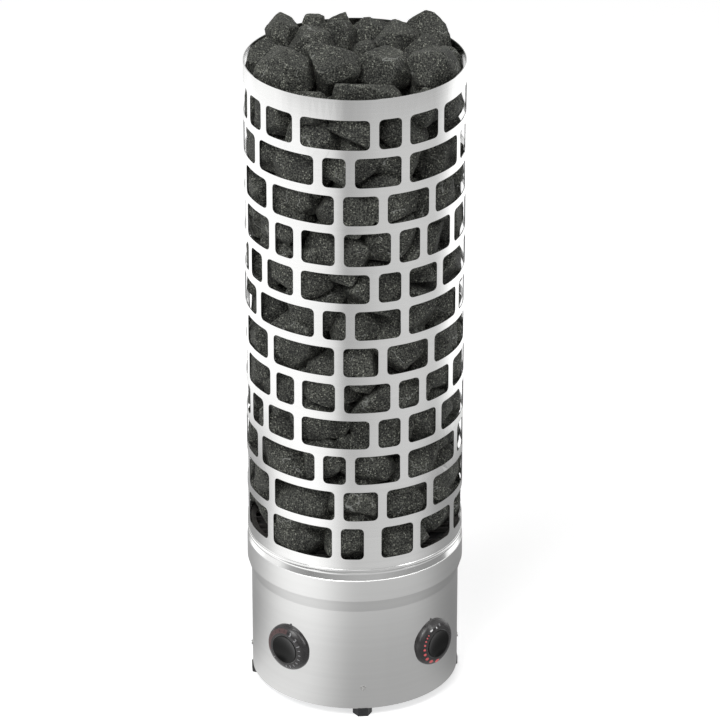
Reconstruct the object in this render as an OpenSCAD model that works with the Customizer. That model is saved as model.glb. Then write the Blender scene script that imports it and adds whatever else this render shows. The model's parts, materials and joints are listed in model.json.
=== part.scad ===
// Tall round electric sauna heater: a perforated cage full of stones on a drum base with two dials.
// Millimetres. Z is up, the floor is z = 0 and the front, midway between the dials, faces -Y.
// Azimuths are degrees from the front, positive toward +X.

/* [Drum] */
// Outer diameter of the drum
base_d = 300; // [292:1:304]
// Height of the drum's straight wall
base_h = 158.7; // [148:0.1:170]
// Height of the flare between the drum and its skirt
flare_h = 19.5; // [14:0.5:30]
// Height of the skirt, up to its lip
skirt_h = 33.3; // [30:0.1:50]
// Thickness of the drum and cage sheet
sheet = 1.2; // [1:0.1:1.5]

/* [Cage] */
// Outer diameter of the cage
cage_d = 310; // [308:1:316]
// Height of the polished collar between skirt and cage
collar_h = 18; // [16:0.5:24]
// Height of a usual row of windows
row_h = 43.8; // [40:0.1:46]
// Height of the fourth and the last row
row_h_tall = 48.9; // [44:0.1:52]
// Height of the metal between two rows
bar_h = 12.3; // [9:0.1:14]
// Plain band above the first row
rim_band = 30; // [24:1:40]
// Plain band under the last row
foot_band = 16; // [14:0.5:24]
// Angle taken by one unit of window width
unit_angle = 6.08; // [5.8:0.01:6.4]
// Angle of the metal between two windows
bar_angle = 4.65; // [3.6:0.01:5]
// Corner radius of a window
corner_r = 6.5; // [3:0.5:9]
// Angle left whole on each side of the weld at the back
seam_angle = 5; // [3:0.5:8]

/* [Controls] */
// Azimuth of each dial from the front
dial_azimuth = 42.1; // [38:0.1:50]
// Height of the dial axes above the drum's lower edge
dial_above_edge = 86.9; // [80:0.1:100]
// Radius of the fixed bezel behind a dial
bezel_r = 31; // [24:0.1:32]
// Radius of the turning dial
dial_r = 35.1; // [33:0.1:38]
// Thickness of the turning dial at its crown
dial_t = 14.4; // [12:0.1:18]
// Radius of the hollow grip in the middle of a dial
grip_r = 21.7; // [18:0.1:24]
// Height of the hollow grip from its seat to its lip
grip_h = 5.8; // [5:0.1:7]
// Depth of the hollow that the fingers press
grip_hollow = 4.4; // [2:0.1:4.5]

/* [Feet] */
// Height of the hexagonal foot
foot_h = 12.2; // [10:0.1:18]
// Width of the foot across its flats
foot_af = 24.2; // [20:0.1:26]
// How far a foot can be screwed out
foot_travel = 15; // [5:1:20]

/* [Heat] */
// Height of the elements above the cage's lower edge
element_h = 610; // [500:10:620]

/* [Stones] */
// Layers of stones under the top layer
stone_layers = 12; // [10:1:12]
// Stones in the outer ring of a layer
outer_stones = 11; // [10:1:12]
// Gap kept between neighbouring stones
stone_gap = 0.5; // [0.3:0.1:2]
// Number that picks the stones' scatter
stone_seed = 41; // [1:1:99]

/* [Hidden] */
$fn = 96;

fit = 0.3; // between fixed curved faces
run_fit = 0.05; // radial play of a turning or sliding shaft
corner_steps = 3; // straight steps round a window's corner
over = 1; // how far a cut runs past what it cuts
wall_cut = 5; // the same for a cut across the drum's curved wall
window_cut = 6; // and across the cage's

cage_r = cage_d / 2;
cage_in = cage_r - sheet;
base_r = base_d / 2;
base_in = base_r - sheet;
skirt_r = cage_r + 1;
edge_z = foot_h + fit;
flare_z = edge_z + base_h;
skirt_z = flare_z + flare_h;
lip_z = skirt_z + skirt_h;
cage_z = lip_z + collar_h;

// Window widths in units: small, medium, large, extra
S = 2;
M = 3;
L = 4;
X = 6;
// Each row from the top: height, azimuth where its first unit starts, widths, and wider bars after a window
row_low_extra = 1.5;
row_h_low = row_h + row_low_extra;
rows = [
    [row_h, -56.2, [M, X, S], [0, 0, 0]],
    [row_h, -62.4, [X, S, L], [0, 0, 0]],
    [row_h, -51.6, [X, M, L], [0, 0, 0]],
    [row_h_tall, -49.8, [S, M, L], [0, 0, 0]],
    [row_h, -56.2, [M, X, S], [0, 0, 0]],
    [row_h, -62.4, [X, S, L], [0, 0, 0]],
    [row_h, -51.6, [X, M, L], [0, 0, 0]],
    [row_h, -49.8, [S, M, L], [0, 0, 0]],
    [row_h, -56.2, [M, X, S], [0, 0, 0]],
    [row_h, -62.4, [X, S, L], [0, 0, 0]],
    [row_h_low, -51.6, [X, M, L], [0, 0, 0]],
    [row_h_tall, -53.0, [X, S, M, L], [0, bar_angle, 0, 0]]
];
function sum_to(list, n) = n <= 0 ? 0 : list[n - 1] + sum_to(list, n - 1);
row_heights = [for (r = rows) r[0]];
last_row = len(rows) - 1;
cage_h = rim_band + sum_to(row_heights, len(rows)) + last_row * bar_h + foot_band;
rim_z = cage_z + cage_h;

// Collar
collar_flange = 1.5;
collar_shoulder = 8.8;
lower_bead_r = 1.7;
upper_bead_r = 2;
spigot_r = cage_in - fit;
spigot_in = spigot_r - 1.5;
spigot_h = 12;
lip_w = 17;
lip_in = cage_r - lip_w;
lip_edge = 0.9;

// Deck that carries the elements, and what stands on it
deck_z = lip_z + collar_flange;
deck_t = 3;
deck_top = deck_z + deck_t;
deck_r = spigot_in - 0.5;
deck_screw_r = cage_r - 11;
deck_screw_d = 5;
deck_nut_af = 8;
deck_nut_h = 4;
deck_head_h = 3.4;
spacer_h = 7.5;
spacer_r = 4;
shield_z = deck_top + spacer_h;
shield_t = 1.2;
shield_gap = 1;
shield_r = deck_r - 1;
leg_ring_r = cage_r - 8.5;
grate_z = shield_z + shield_t + 8.8;
grate_t = 6;
grate_top = grate_z + grate_t;
grate_r = shield_r - 0.2;
grate_band = 7.3;
grate_bar_w = 4;
grate_step = 0.5;
grate_leg_r = 3;
grate_rows = [0, 24, 40, 55, 90, 108, 124];

// Elements: two for each of the three phases
phases = 3;
element_count = 2 * phases;
element_step = 360 / element_count;
element_ring_r = 83;
leg_half = 12;
tube_r = 4;
bend_z = cage_z + element_h - leg_half - tube_r;
element_top = cage_z + element_h;
leg_bottom = deck_z - 9.5;
element_nut_af = 17;
element_nut_h = 6;
insulator_r = 6;
insulator_h = 14;
bar_t = 2;
bar_top = leg_bottom - insulator_h;
bar_bottom = bar_top - bar_t;
pin_r = 2;
pin_tail = 8;
pin_ring_r = norm([element_ring_r, leg_half]);
pin_angle = atan2(leg_half, element_ring_r);
nut_af = 7;
nut_h = 3.2;

// Bottom plate, foot brackets and feet
plate_z = edge_z + 3.5;
plate_t = 1.5;
plate_top = plate_z + plate_t;
plate_r = base_in - fit;
vent_w = 5;
vent_length = 70;
vent_step = 12;
vent_y = -10;
bracket_t = 2;
bracket_w = 24;
bracket_out = base_in - 0.6;
bracket_foot = 30;
bracket_h = 44;
foot_ring_r = base_r + 1.3 - foot_af / 2;
stud_r = 4;
foot_nut_af = 13;
foot_nut_h = 6.5;
foot_nut_z = plate_top + bracket_t;
stud_top = foot_nut_z + foot_nut_h + foot_travel + 6;
shoulder_r = 7;
shell_screw_z = edge_z + 33;
shell_screw_r = 2;
shell_screw_head_r = 3.5;
shell_screw_head_h = 2;
cross_length = 4;
cross_w = 0.8;
cross_depth = 1;

// Controls
dial_z = edge_z + dial_above_edge;
bezel_front = base_r + 1.2;
dial_back = bezel_front + 0.4;
dial_front = dial_back + dial_t;
dial_side = dial_back + 4.8;
dial_steps = 6;
grip_lip = dial_front + 1;
grip_seat = grip_lip - grip_h;
grip_play = 0.2;
hollow_steps = 5;
index_w = 3;
index_r = dial_r + 1.1;
boss_r = 9;
boss_back = base_in - 2.6;
shaft_r = 3;
shaft_flat = 2.2;
shaft_tip = grip_seat - 1.5;
panel_front = base_r - 7.5;
panel_t = 1.5;
panel_back = panel_front - panel_t;
panel_half = 26;
panel_top = dial_z + 30;
panel_foot = 20;
bushing_r = 5;
bushing_tip = boss_back - 0.4;
timer_w = 48;
timer_t = 40;
thermostat_r = 22;
thermostat_t = 34;
thermostat_flange = 9;
shaft_depth = 17;
control_screw = 16;
control_screw_r = 2;
control_screw_depth = 7;
control_head_r = 3.5;
control_head_h = 1.8;

// Limiter and its reset button
limiter_xy = [60, -25];
limiter_w = 30;
limiter_h = 32;
neck_r = 5;
neck_z = plate_z - 2;
button_r = 2.5;
button_drop = 4;
button_bore = 16;
button_travel = 2;

// Sensors
bulb_r = 3;
bulb_z = deck_top + spacer_h / 2;
bulb_half = 35;
bulb_y = 6;
capillary_r = 1;
capillary_x = 42;
capillary_hole_r = 2.5;

// Supply
block_y = 70.5;
block_w = 84;
block_d = 26;
block_h = 24;
block_poles = [-30, -15, 0, 15, 30];
pole_r = 3;
pole_depth = 8;
gland_xy = [85, 60];
gland_r = 10;
gland_bore_r = 7.5;
gland_af = 27;
gland_drop = 6;
gland_nut_h = 5;
gland_z = plate_z - gland_drop;
gland_top = plate_top + gland_nut_h + 2;
earth_xy = [-75, 75];
earth_r = 3;
earth_top = plate_top + 18;
earth_nut_af = 10;
earth_nut_h = 5;
wire_r = 1.6;
wire_sides = 8;
wire_bend = 11;
wire_pitch = 14;
neutral_r = 72;
neutral_w = 8;
phase_r = 96;

// Stones
pile_clear = 7.5;
pile_r = cage_r - pile_clear;
pile_floor = grate_top + fit;
top_layer_drop = 58;
first_layer_rise = 29;
first_layer_z = pile_floor + first_layer_rise;
layer_step = (rim_z - top_layer_drop - first_layer_z) / (stone_layers - 1);
outer_ring_in = 33.5; // from the pile's edge to its outer ring of stones
outer_ring_r = pile_r - outer_ring_in;
inner_ring_r = 49;
inner_stones = 5;
layer_count = outer_stones + inner_stones + 1;
core_r = 3.5;
stone_size = 33;
size_scatter = 4;
stone_longer = [13, 10, 7]; // half sizes over stone_size
longer_scatter = [3, 4, 3];
place_scatter = 4;
level_scatter = 7;
stagger = 13;
bearing_reach = 12;
stone_turn = 137.5;
near_stone = 150;
near_element = 90;
least_share = 0.15; // of the way to a neighbour that a stone keeps
keep_off = tube_r + 2.5;
top_pile_r = 147.5; // pile radius that the top stones' places belong to
// Top stones, from the photo: centre measured from the rim, half sizes, turn about Z, tilt
top_stones = [
    [[-98, -52, 0], [39, 46, 35], 20, 0],
    [[-126, 18, -10], [21, 29, 32], 0, 0],
    [[-92, 74, 6], [24, 29, 31], 0, 0],
    [[-50, 94, 4], [18, 22, 26], 0, 0],
    [[-58, 32, 0], [31, 34, 33], 15, 0],
    [[-20, 74, -2], [28, 33, 30], -20, 0],
    [[-12, 121, -12], [19, 21, 33], 0, 0],
    [[-35, -50, 8], [37, 38, 34], 0, 0],
    [[30, 98, -12], [36, 32, 28], 0, 0],
    [[18, 24, -18], [24, 26, 32], 0, 0],
    [[38, -47, -2], [40, 39, 31], 10, 0],
    [[66, 56, -2], [28, 38, 31], 0, 0],
    [[110, 64, 6], [19, 52, 20], 36, 24],
    [[98, 14, -12], [23, 27, 34], 0, 0],
    [[104, -48, -6], [38, 46, 35], -15, 0],
    [[4, -115, -15], [70, 27, 21], 0, 0],
    [[-70, -113, -28], [28, 25, 26], 0, 0],
    [[129, 2, -20], [18, 24, 30], 0, 0],
    [[62, 122, -34], [24, 18, 22], 30, 0],
    [[88, -107, -34], [26, 24, 24], 20, 0]
];

// Puts its children on a radius of the drum: local z is the distance from the axis,
// y is up and x is to the right
module on_drum(azimuth, z) {
    rotate([0, 0, azimuth])
        translate([0, 0, z])
            rotate([90, 0, 0])
                children();
}

// The same place as a point
function drum_point(azimuth, rho, x, z) = [
    x * cos(azimuth) + rho * sin(azimuth),
    x * sin(azimuth) - rho * cos(azimuth),
    z
];

// The hole through something that lies between z and z + h
module through_hole(r, z, h) {
    translate([0, 0, z - over])
        cylinder(h = h + 2 * over, r = r);
}

module ring(outer, inner, h) {
    difference() {
        cylinder(h = h, r = outer);
        through_hole(inner, 0, h);
    }
}

module hexagon(af, h) {
    cylinder(h = h, r = af / sqrt(3), $fn = 6);
}

module hex_nut(af, bore_r, h) {
    difference() {
        hexagon(af, h);
        through_hole(bore_r, 0, h);
    }
}

module rod(a, b, r) {
    d = b - a;
    length = norm(d);
    translate(a)
        rotate([0, acos(d[2] / length), atan2(d[1], d[0])])
            cylinder(h = length, r = r);
}

// A bent wire: straight runs joined by slightly fuller balls
module wire(points, r) {
    $fn = wire_sides;
    for (i = [1 : len(points) - 1])
        rod(points[i - 1], points[i], r);
    if (len(points) > 2)
        for (i = [1 : len(points) - 2])
            translate(points[i])
                sphere(r = r * 1.12);
}

// A rectangle with corners rounded in short straight steps
module rounded_box(w, h, r) {
    corners = [[1, 1], [-1, 1], [-1, -1], [1, -1]];
    polygon([
        for (q = [0 : 3], t = [0 : corner_steps])
            let (c = corners[q], a = 90 * q + 90 * t / corner_steps)
            [c[0] * (w / 2 - r) + r * cos(a), c[1] * (h / 2 - r) + r * sin(a)]
    ]);
}

module slot(w, length) {
    square([w, length - w], center = true);
    for (y = [-1, 1])
        translate([0, y * (length - w) / 2])
            circle(r = w / 2);
}

module at_feet() {
    for (a = [0, 90, 180, 270])
        rotate([0, 0, a])
            translate([0, -foot_ring_r, 0])
                children();
}

module at_deck_screws() {
    for (i = [0 : 5])
        rotate([0, 0, 30 + 60 * i])
            translate([deck_screw_r, 0, 0])
                children();
}

module at_spacers() {
    for (i = [0 : 5])
        rotate([0, 0, 60 * i])
            translate([leg_ring_r, 0, 0])
                children();
}

module at_legs() {
    for (i = [0 : element_count - 1], side = [-1, 1])
        rotate([0, 0, element_step * i + side * pin_angle])
            translate([pin_ring_r, 0, 0])
                children();
}

// Drum

module base_shell() {
    color("Gainsboro")
    difference() {
        rotate_extrude()
            polygon([
                [base_r, edge_z],
                [base_r, flare_z],
                [skirt_r, skirt_z],
                [skirt_r, lip_z - lip_edge],
                [skirt_r - lip_edge, lip_z],
                [lip_in, lip_z],
                [lip_in, lip_z - sheet],
                [skirt_r - sheet, lip_z - sheet],
                [skirt_r - sheet, skirt_z],
                [base_in, flare_z],
                [base_in, edge_z]
            ]);
        for (side = [-1, 1])
            on_drum(side * dial_azimuth, dial_z)
                through_hole(boss_r + fit, base_in - wall_cut, sheet + 2 * wall_cut);
        for (a = [0, 90, 180, 270])
            on_drum(a, shell_screw_z)
                through_hole(shell_screw_r + fit, base_in - wall_cut, sheet + 2 * wall_cut);
        at_deck_screws()
            through_hole(deck_screw_d / 2 + fit, lip_z - sheet, sheet);
    }
}

module bottom_plate() {
    color("Silver")
    difference() {
        translate([0, 0, plate_z])
            cylinder(h = plate_t, r = plate_r);
        at_feet()
            through_hole(stud_r + fit, plate_z, plate_t);
        translate(limiter_xy)
            through_hole(neck_r + fit, plate_z, plate_t);
        translate(gland_xy)
            through_hole(gland_r + fit, plate_z, plate_t);
        for (i = [-3 : 3])
            translate([i * vent_step, vent_y, plate_z - over])
                linear_extrude(height = plate_t + 2 * over)
                    slot(vent_w, vent_length);
    }
}

module foot_brackets() {
    color("Silver")
    for (a = [0, 90, 180, 270])
        rotate([0, 0, a])
            difference() {
                union() {
                    translate([-bracket_w / 2, -bracket_out, plate_top])
                        cube([bracket_w, bracket_foot, bracket_t]);
                    translate([-bracket_w / 2, -bracket_out, plate_top])
                        cube([bracket_w, bracket_t, bracket_h]);
                }
                translate([0, -foot_ring_r, 0])
                    through_hole(stud_r + fit, plate_top, bracket_t);
                on_drum(0, shell_screw_z)
                    through_hole(shell_screw_r + run_fit, bracket_out - bracket_t, bracket_t);
            }
}

module foot_nuts() {
    color("DarkGray")
    at_feet()
        translate([0, 0, foot_nut_z])
            hex_nut(foot_nut_af, stud_r + run_fit, foot_nut_h);
}

module shell_screws() {
    tip = foot_ring_r + stud_r + 0.9;
    head = base_r + run_fit;
    color("DarkGray")
    for (a = [0, 90, 180, 270])
        on_drum(a, shell_screw_z) {
            translate([0, 0, tip])
                cylinder(h = head - tip, r = shell_screw_r);
            translate([0, 0, head])
                difference() {
                    cylinder(h = shell_screw_head_h, r = shell_screw_head_r);
                    for (turn = [0, 90])
                        rotate([0, 0, turn])
                            translate([0, 0, shell_screw_head_h])
                                cube([cross_length, cross_w, 2 * cross_depth], center = true);
                }
        }
}

module foot(azimuth) {
    color("DimGray")
    rotate([0, 0, azimuth])
        translate([0, -foot_ring_r, 0])
            difference() {
                union() {
                    hexagon(foot_af, foot_h);
                    translate([0, 0, foot_h])
                        cylinder(h = plate_z - run_fit - foot_h, r = shoulder_r);
                }
                translate([0, 0, foot_h / 2])
                    cylinder(h = foot_h + 5, r = stud_r);
            }
}

module stud(azimuth) {
    color("Silver")
    rotate([0, 0, azimuth])
        translate([0, -foot_ring_r, foot_h / 2])
            cylinder(h = stud_top - foot_h / 2, r = stud_r);
}

// Collar, cage and deck

module collar_ring() {
    color("Gainsboro")
    difference() {
        rotate_extrude() {
            polygon([
                [lip_in, lip_z],
                [skirt_r - lip_edge, lip_z],
                [skirt_r - 0.1, lip_z + 0.8],
                [cage_r - 0.1, lip_z + collar_shoulder],
                [cage_r - 0.5, cage_z],
                [spigot_r, cage_z],
                [spigot_r, cage_z + spigot_h],
                [spigot_in, cage_z + spigot_h],
                [spigot_in, deck_z],
                [lip_in, deck_z]
            ]);
            translate([cage_r + 0.2 - lower_bead_r, lip_z + collar_shoulder + lower_bead_r + 0.6])
                circle(r = lower_bead_r);
            translate([cage_r + 0.2 - upper_bead_r, cage_z - upper_bead_r - 0.3])
                circle(r = upper_bead_r);
        }
        at_deck_screws()
            through_hole(deck_screw_d / 2 + fit, lip_z, collar_flange);
    }
}

// Angle from the start of a row's unit to its window w
function window_offset(row, w) =
    unit_angle * sum_to(row[2], w) + bar_angle * w + sum_to(row[3], w);
function row_period(row) = window_offset(row, len(row[2]));

// One window, cut along the radius through its middle
module window(from, to, z, h) {
    half = (to - from) / 2;
    w = 2 * cage_r * sin(half);
    on_drum(from + half, z - h / 2)
        translate([0, 0, cage_r * cos(half) - window_cut])
            linear_extrude(height = cage_r * (1 - cos(half)) + 2 * window_cut)
                rounded_box(w, h, corner_r);
}

module row_windows(row, z) {
    period = row_period(row);
    turns = ceil(360 / period);
    limit = 180 - seam_angle;
    for (k = [-turns : turns], w = [0 : len(row[2]) - 1]) {
        from = row[1] + k * period + window_offset(row, w);
        left = max(from, -limit);
        right = min(from + unit_angle * row[2][w], limit);
        if (right - left > unit_angle * 1.4)
            window(left, right, z, row[0]);
    }
}

module cage() {
    color("Gainsboro")
    difference() {
        translate([0, 0, cage_z])
            ring(cage_r, cage_in, cage_h);
        for (i = [0 : last_row])
            row_windows(rows[i], rim_z - rim_band - sum_to(row_heights, i) - i * bar_h);
    }
}

module element_plate() {
    color("Silver")
    difference() {
        translate([0, 0, deck_z])
            cylinder(h = deck_t, r = deck_r);
        at_deck_screws()
            through_hole(deck_screw_d / 2 + fit, deck_z, deck_t);
        at_legs()
            through_hole(tube_r + fit, deck_z, deck_t);
        for (y = [-bulb_y, bulb_y])
            translate([capillary_x, y, 0])
                through_hole(capillary_hole_r, deck_z, deck_t);
    }
}

module deck_screws() {
    tip = lip_z - sheet - deck_nut_h - 1;
    color("DarkGray")
    at_deck_screws() {
        translate([0, 0, tip])
            cylinder(h = deck_top - tip, r = deck_screw_d / 2);
        translate([0, 0, deck_top])
            hexagon(deck_nut_af, deck_head_h);
    }
}

module deck_nuts() {
    color("DarkGray")
    at_deck_screws()
        translate([0, 0, lip_z - sheet - deck_nut_h])
            hex_nut(deck_nut_af, deck_screw_d / 2 + run_fit, deck_nut_h);
}

module shield_spacers() {
    color("Silver")
    at_spacers()
        translate([0, 0, deck_top])
            cylinder(h = spacer_h, r = spacer_r);
}

module heat_shield() {
    color("LightGray")
    difference() {
        translate([0, 0, shield_z])
            cylinder(h = shield_t, r = shield_r);
        at_legs()
            through_hole(tube_r + shield_gap, shield_z, shield_t);
    }
}

module stone_grate() {
    bar_ring = grate_r - grate_band / 2;
    color("DimGray") {
        translate([0, 0, grate_z])
            ring(grate_r, grate_r - grate_band, grate_t - grate_step);
        for (y = grate_rows, side = [-1, 1])
            if (y > 0 || side > 0) {
                half = sqrt(bar_ring * bar_ring - y * y);
                translate([-half, side * y - grate_bar_w / 2, grate_z + grate_step])
                    cube([2 * half, grate_bar_w, grate_t - grate_step]);
            }
        at_spacers()
            translate([0, 0, shield_z + shield_t])
                cylinder(h = grate_z - shield_z - shield_t + 1, r = grate_leg_r);
    }
}

// Heating elements and their terminals

module heating_element(index) {
    color("SlateGray")
    rotate([0, 0, element_step * (index - 1)])
        translate([element_ring_r, 0, 0]) {
            for (side = [-1, 1])
                translate([0, side * leg_half, leg_bottom])
                    cylinder(h = bend_z - leg_bottom, r = tube_r);
            translate([0, 0, bend_z])
                rotate([90, 0, 90])
                    rotate_extrude(angle = 180)
                        translate([leg_half, 0])
                            circle(r = tube_r);
        }
}

module element_nuts() {
    color("DarkGray")
    at_legs()
        translate([0, 0, deck_z - element_nut_h])
            rotate([0, 0, 30])
                hex_nut(element_nut_af, tube_r + run_fit, element_nut_h);
}

module terminal_insulators() {
    color("Ivory")
    at_legs()
        translate([0, 0, bar_top])
            ring(insulator_r, pin_r + run_fit, insulator_h);
}

module terminal_pins() {
    color("Silver")
    at_legs()
        translate([0, 0, bar_bottom - pin_tail])
            cylinder(h = leg_bottom - bar_bottom + pin_tail, r = pin_r);
}

module terminal_nuts() {
    color("DarkGray")
    at_legs()
        translate([0, 0, bar_bottom - nut_h])
            hex_nut(nut_af, pin_r + run_fit, nut_h);
}

// A flat tab out of a ring to one terminal pin
module pin_tab(inner, outer) {
    translate([inner, -neutral_w / 2, bar_bottom])
        cube([outer - inner, neutral_w, bar_t]);
}

module neutral_ring() {
    color("Peru")
    difference() {
        union() {
            translate([0, 0, bar_bottom])
                ring(neutral_r + neutral_w / 2, neutral_r - neutral_w / 2, bar_t);
            for (i = [0 : element_count - 1])
                rotate([0, 0, element_step * i - pin_angle])
                    pin_tab(neutral_r, pin_ring_r + neutral_w / 2);
        }
        at_legs()
            through_hole(pin_r + run_fit, bar_bottom, bar_t);
    }
}

module phase_bars() {
    color("Peru")
    for (i = [0 : phases - 1])
        rotate([0, 0, 2 * element_step * i + pin_angle])
            difference() {
                union() {
                    translate([0, 0, bar_bottom])
                        rotate_extrude(angle = element_step)
                            translate([phase_r - neutral_w / 2, 0])
                                square([neutral_w, bar_t]);
                    for (a = [0, element_step])
                        rotate([0, 0, a])
                            pin_tab(pin_ring_r - neutral_w / 2, phase_r);
                }
                for (a = [0, element_step])
                    rotate([0, 0, a])
                        translate([pin_ring_r, 0, 0])
                            through_hole(pin_r + run_fit, bar_bottom, bar_t);
            }
}

// Controls

module control_bracket(azimuth) {
    color("Silver")
    on_drum(azimuth, 0)
        difference() {
            union() {
                translate([-panel_half, plate_top, panel_back])
                    cube([2 * panel_half, panel_top - plate_top, panel_t]);
                translate([-panel_half, plate_top, panel_front - panel_foot])
                    cube([2 * panel_half, panel_t, panel_foot]);
            }
            translate([0, dial_z, 0])
                through_hole(bushing_r + fit, panel_back, panel_t);
            for (side = [-1, 1])
                translate([side * control_screw, dial_z + side * control_screw, 0])
                    through_hole(control_screw_r + fit, panel_back, panel_t);
        }
}

// Where a control is drilled for its shaft and its two screws
module control_bores() {
    translate([0, 0, panel_back - shaft_depth - over])
        cylinder(h = bushing_tip - panel_back + shaft_depth + 2 * over, r = shaft_r + run_fit);
    for (side = [-1, 1])
        translate([side * control_screw, side * control_screw, panel_back - control_screw_depth - over])
            cylinder(h = control_screw_depth + 2 * over, r = control_screw_r + run_fit);
}

module timer_body() {
    color("WhiteSmoke")
    on_drum(-dial_azimuth, dial_z)
        difference() {
            union() {
                translate([-timer_w / 2, -timer_w / 2, panel_back - timer_t])
                    cube([timer_w, timer_w, timer_t]);
                translate([0, 0, panel_back - over])
                    cylinder(h = bushing_tip - panel_back + over, r = bushing_r);
            }
            control_bores();
        }
}

module thermostat_body() {
    color("WhiteSmoke")
    on_drum(dial_azimuth, dial_z)
        difference() {
            union() {
                translate([0, 0, panel_back - thermostat_t])
                    cylinder(h = thermostat_t - over, r = thermostat_r);
                translate([-timer_w / 2, -timer_w / 2, panel_back - thermostat_flange])
                    cube([timer_w, timer_w, thermostat_flange]);
                translate([0, 0, panel_back - over])
                    cylinder(h = bushing_tip - panel_back + over, r = bushing_r);
            }
            control_bores();
        }
}

// A shaft with a flat along it; the same shape, with play, is cut in the dial
module shaft_shape(from, to, play) {
    difference() {
        translate([0, 0, from])
            cylinder(h = to - from, r = shaft_r + play);
        translate([shaft_flat + play, -shaft_r * 2, bezel_front])
            cube([shaft_r * 2, shaft_r * 4, to - bezel_front + 1]);
    }
}

module control_shaft(azimuth) {
    color("Silver")
    on_drum(azimuth, dial_z)
        shaft_shape(panel_back - shaft_depth, shaft_tip - run_fit, 0);
}

module bezel(azimuth) {
    color("DimGray")
    on_drum(azimuth, dial_z)
        difference() {
            union() {
                difference() {
                    union() {
                        translate([0, 0, base_r - wall_cut])
                            cylinder(h = bezel_front - base_r + wall_cut, r = bezel_r);
                        translate([0, 0, base_r])
                            linear_extrude(bezel_front - base_r)
                                polygon([
                                    [-index_w / 2, bezel_r - 1],
                                    [index_w / 2, bezel_r - 1],
                                    [index_w / 2, index_r - index_w / 2],
                                    [0, index_r],
                                    [-index_w / 2, index_r - index_w / 2]
                                ]);
                    }
                    rotate([90, 0, 0])
                        cylinder(h = 3 * dial_r, r = base_r + 0.1, center = true, $fn = 480);
                }
                translate([0, 0, boss_back])
                    cylinder(h = bezel_front - boss_back, r = boss_r);
            }
            through_hole(shaft_r + 1, boss_back, bezel_front - boss_back);
        }
}

// A dial is crowned round the seat of its grip
module dial(azimuth) {
    round = 0.8;
    seat_r = grip_r + grip_play;
    crown = dial_r - seat_r - round;
    color("DimGray")
    on_drum(azimuth, dial_z)
        difference() {
            rotate_extrude()
                polygon([
                    [0, dial_back],
                    [dial_r - round, dial_back],
                    [dial_r, dial_back + round],
                    for (i = [0:dial_steps]) [
                        dial_r - crown * (1 - cos(90 * i / dial_steps)),
                        dial_side + (dial_front - dial_side) * sin(90 * i / dial_steps)
                    ],
                    [seat_r, dial_front],
                    [seat_r, grip_seat],
                    [0, grip_seat]
                ]);
            shaft_shape(dial_back - over, shaft_tip, run_fit);
        }
}

module grip(azimuth) {
    lip = 1;
    hollow_r = grip_r - 1.6 * lip;
    color("Black")
    on_drum(azimuth, dial_z)
        rotate_extrude()
            polygon([
                [0, grip_seat],
                [grip_r, grip_seat],
                [grip_r, grip_lip - lip],
                [grip_r - 0.3 * lip, grip_lip - 0.3 * lip],
                [grip_r - lip, grip_lip],
                for (i = [hollow_steps:-1:0])
                    let (part = i / hollow_steps)
                    [hollow_r * part, grip_lip - grip_hollow * (1 - part * part)]
            ]);
}

module control_screws() {
    color("DarkGray")
    for (azimuth = [-dial_azimuth, dial_azimuth], side = [-1, 1])
        on_drum(azimuth, dial_z)
            translate([side * control_screw, side * control_screw, 0]) {
                translate([0, 0, panel_back - control_screw_depth])
                    cylinder(h = control_screw_depth + panel_t, r = control_screw_r);
                translate([0, 0, panel_front])
                    cylinder(h = control_head_h, r = control_head_r);
            }
}

module limiter_body() {
    color("WhiteSmoke")
    translate(limiter_xy)
        difference() {
            union() {
                translate([-limiter_w / 2, -limiter_w / 2, plate_top])
                    cube([limiter_w, limiter_w, limiter_h]);
                translate([0, 0, neck_z])
                    cylinder(h = plate_top - neck_z + over, r = neck_r);
            }
            translate([0, 0, neck_z - over])
                cylinder(h = button_bore + over, r = button_r + run_fit);
        }
}

module reset_button() {
    color("FireBrick")
    translate([limiter_xy[0], limiter_xy[1], neck_z - button_drop])
        cylinder(h = button_drop + button_bore - button_travel - 1, r = button_r);
}

module sensor_bulbs() {
    color("Peru")
    for (y = [-bulb_y, bulb_y])
        rod([-bulb_half, y, bulb_z], [bulb_half, y, bulb_z], bulb_r);
}

module capillaries() {
    rear = panel_back - thermostat_t;
    bend = dial_z + 10;
    top = plate_top + limiter_h;
    color("Peru") {
        wire([
            drum_point(dial_azimuth, rear, 0, bend),
            drum_point(dial_azimuth, rear - 25, 0, bend),
            [capillary_x, -bulb_y, bend],
            [capillary_x, -bulb_y, bulb_z],
            [bulb_half, -bulb_y, bulb_z]
        ], capillary_r);
        wire([
            [limiter_xy[0], limiter_xy[1], top],
            [limiter_xy[0], limiter_xy[1], top + 10],
            [capillary_x, bulb_y, top + 10],
            [capillary_x, bulb_y, bulb_z],
            [bulb_half, bulb_y, bulb_z]
        ], capillary_r);
    }
}

// Supply

module terminal_block() {
    color("Ivory")
    difference() {
        translate([-block_w / 2, block_y - block_d / 2, plate_top])
            cube([block_w, block_d, block_h]);
        for (x = block_poles)
            translate([x, block_y, plate_top + block_h - pole_depth])
                cylinder(h = pole_depth + 1, r = pole_r);
    }
}

module cable_gland() {
    color("DimGray")
    translate(gland_xy)
        difference() {
            union() {
                translate([0, 0, gland_z])
                    hexagon(gland_af, gland_drop);
                translate([0, 0, gland_z])
                    cylinder(h = gland_top - gland_z, r = gland_r);
                translate([0, 0, plate_top])
                    hexagon(gland_af, gland_nut_h);
            }
            through_hole(gland_bore_r, gland_z, gland_top - gland_z);
        }
}

module earth_stud() {
    color("Goldenrod")
    translate([earth_xy[0], earth_xy[1], plate_top]) {
        cylinder(h = earth_top - plate_top, r = earth_r);
        hexagon(earth_nut_af, earth_nut_h);
    }
}

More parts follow.
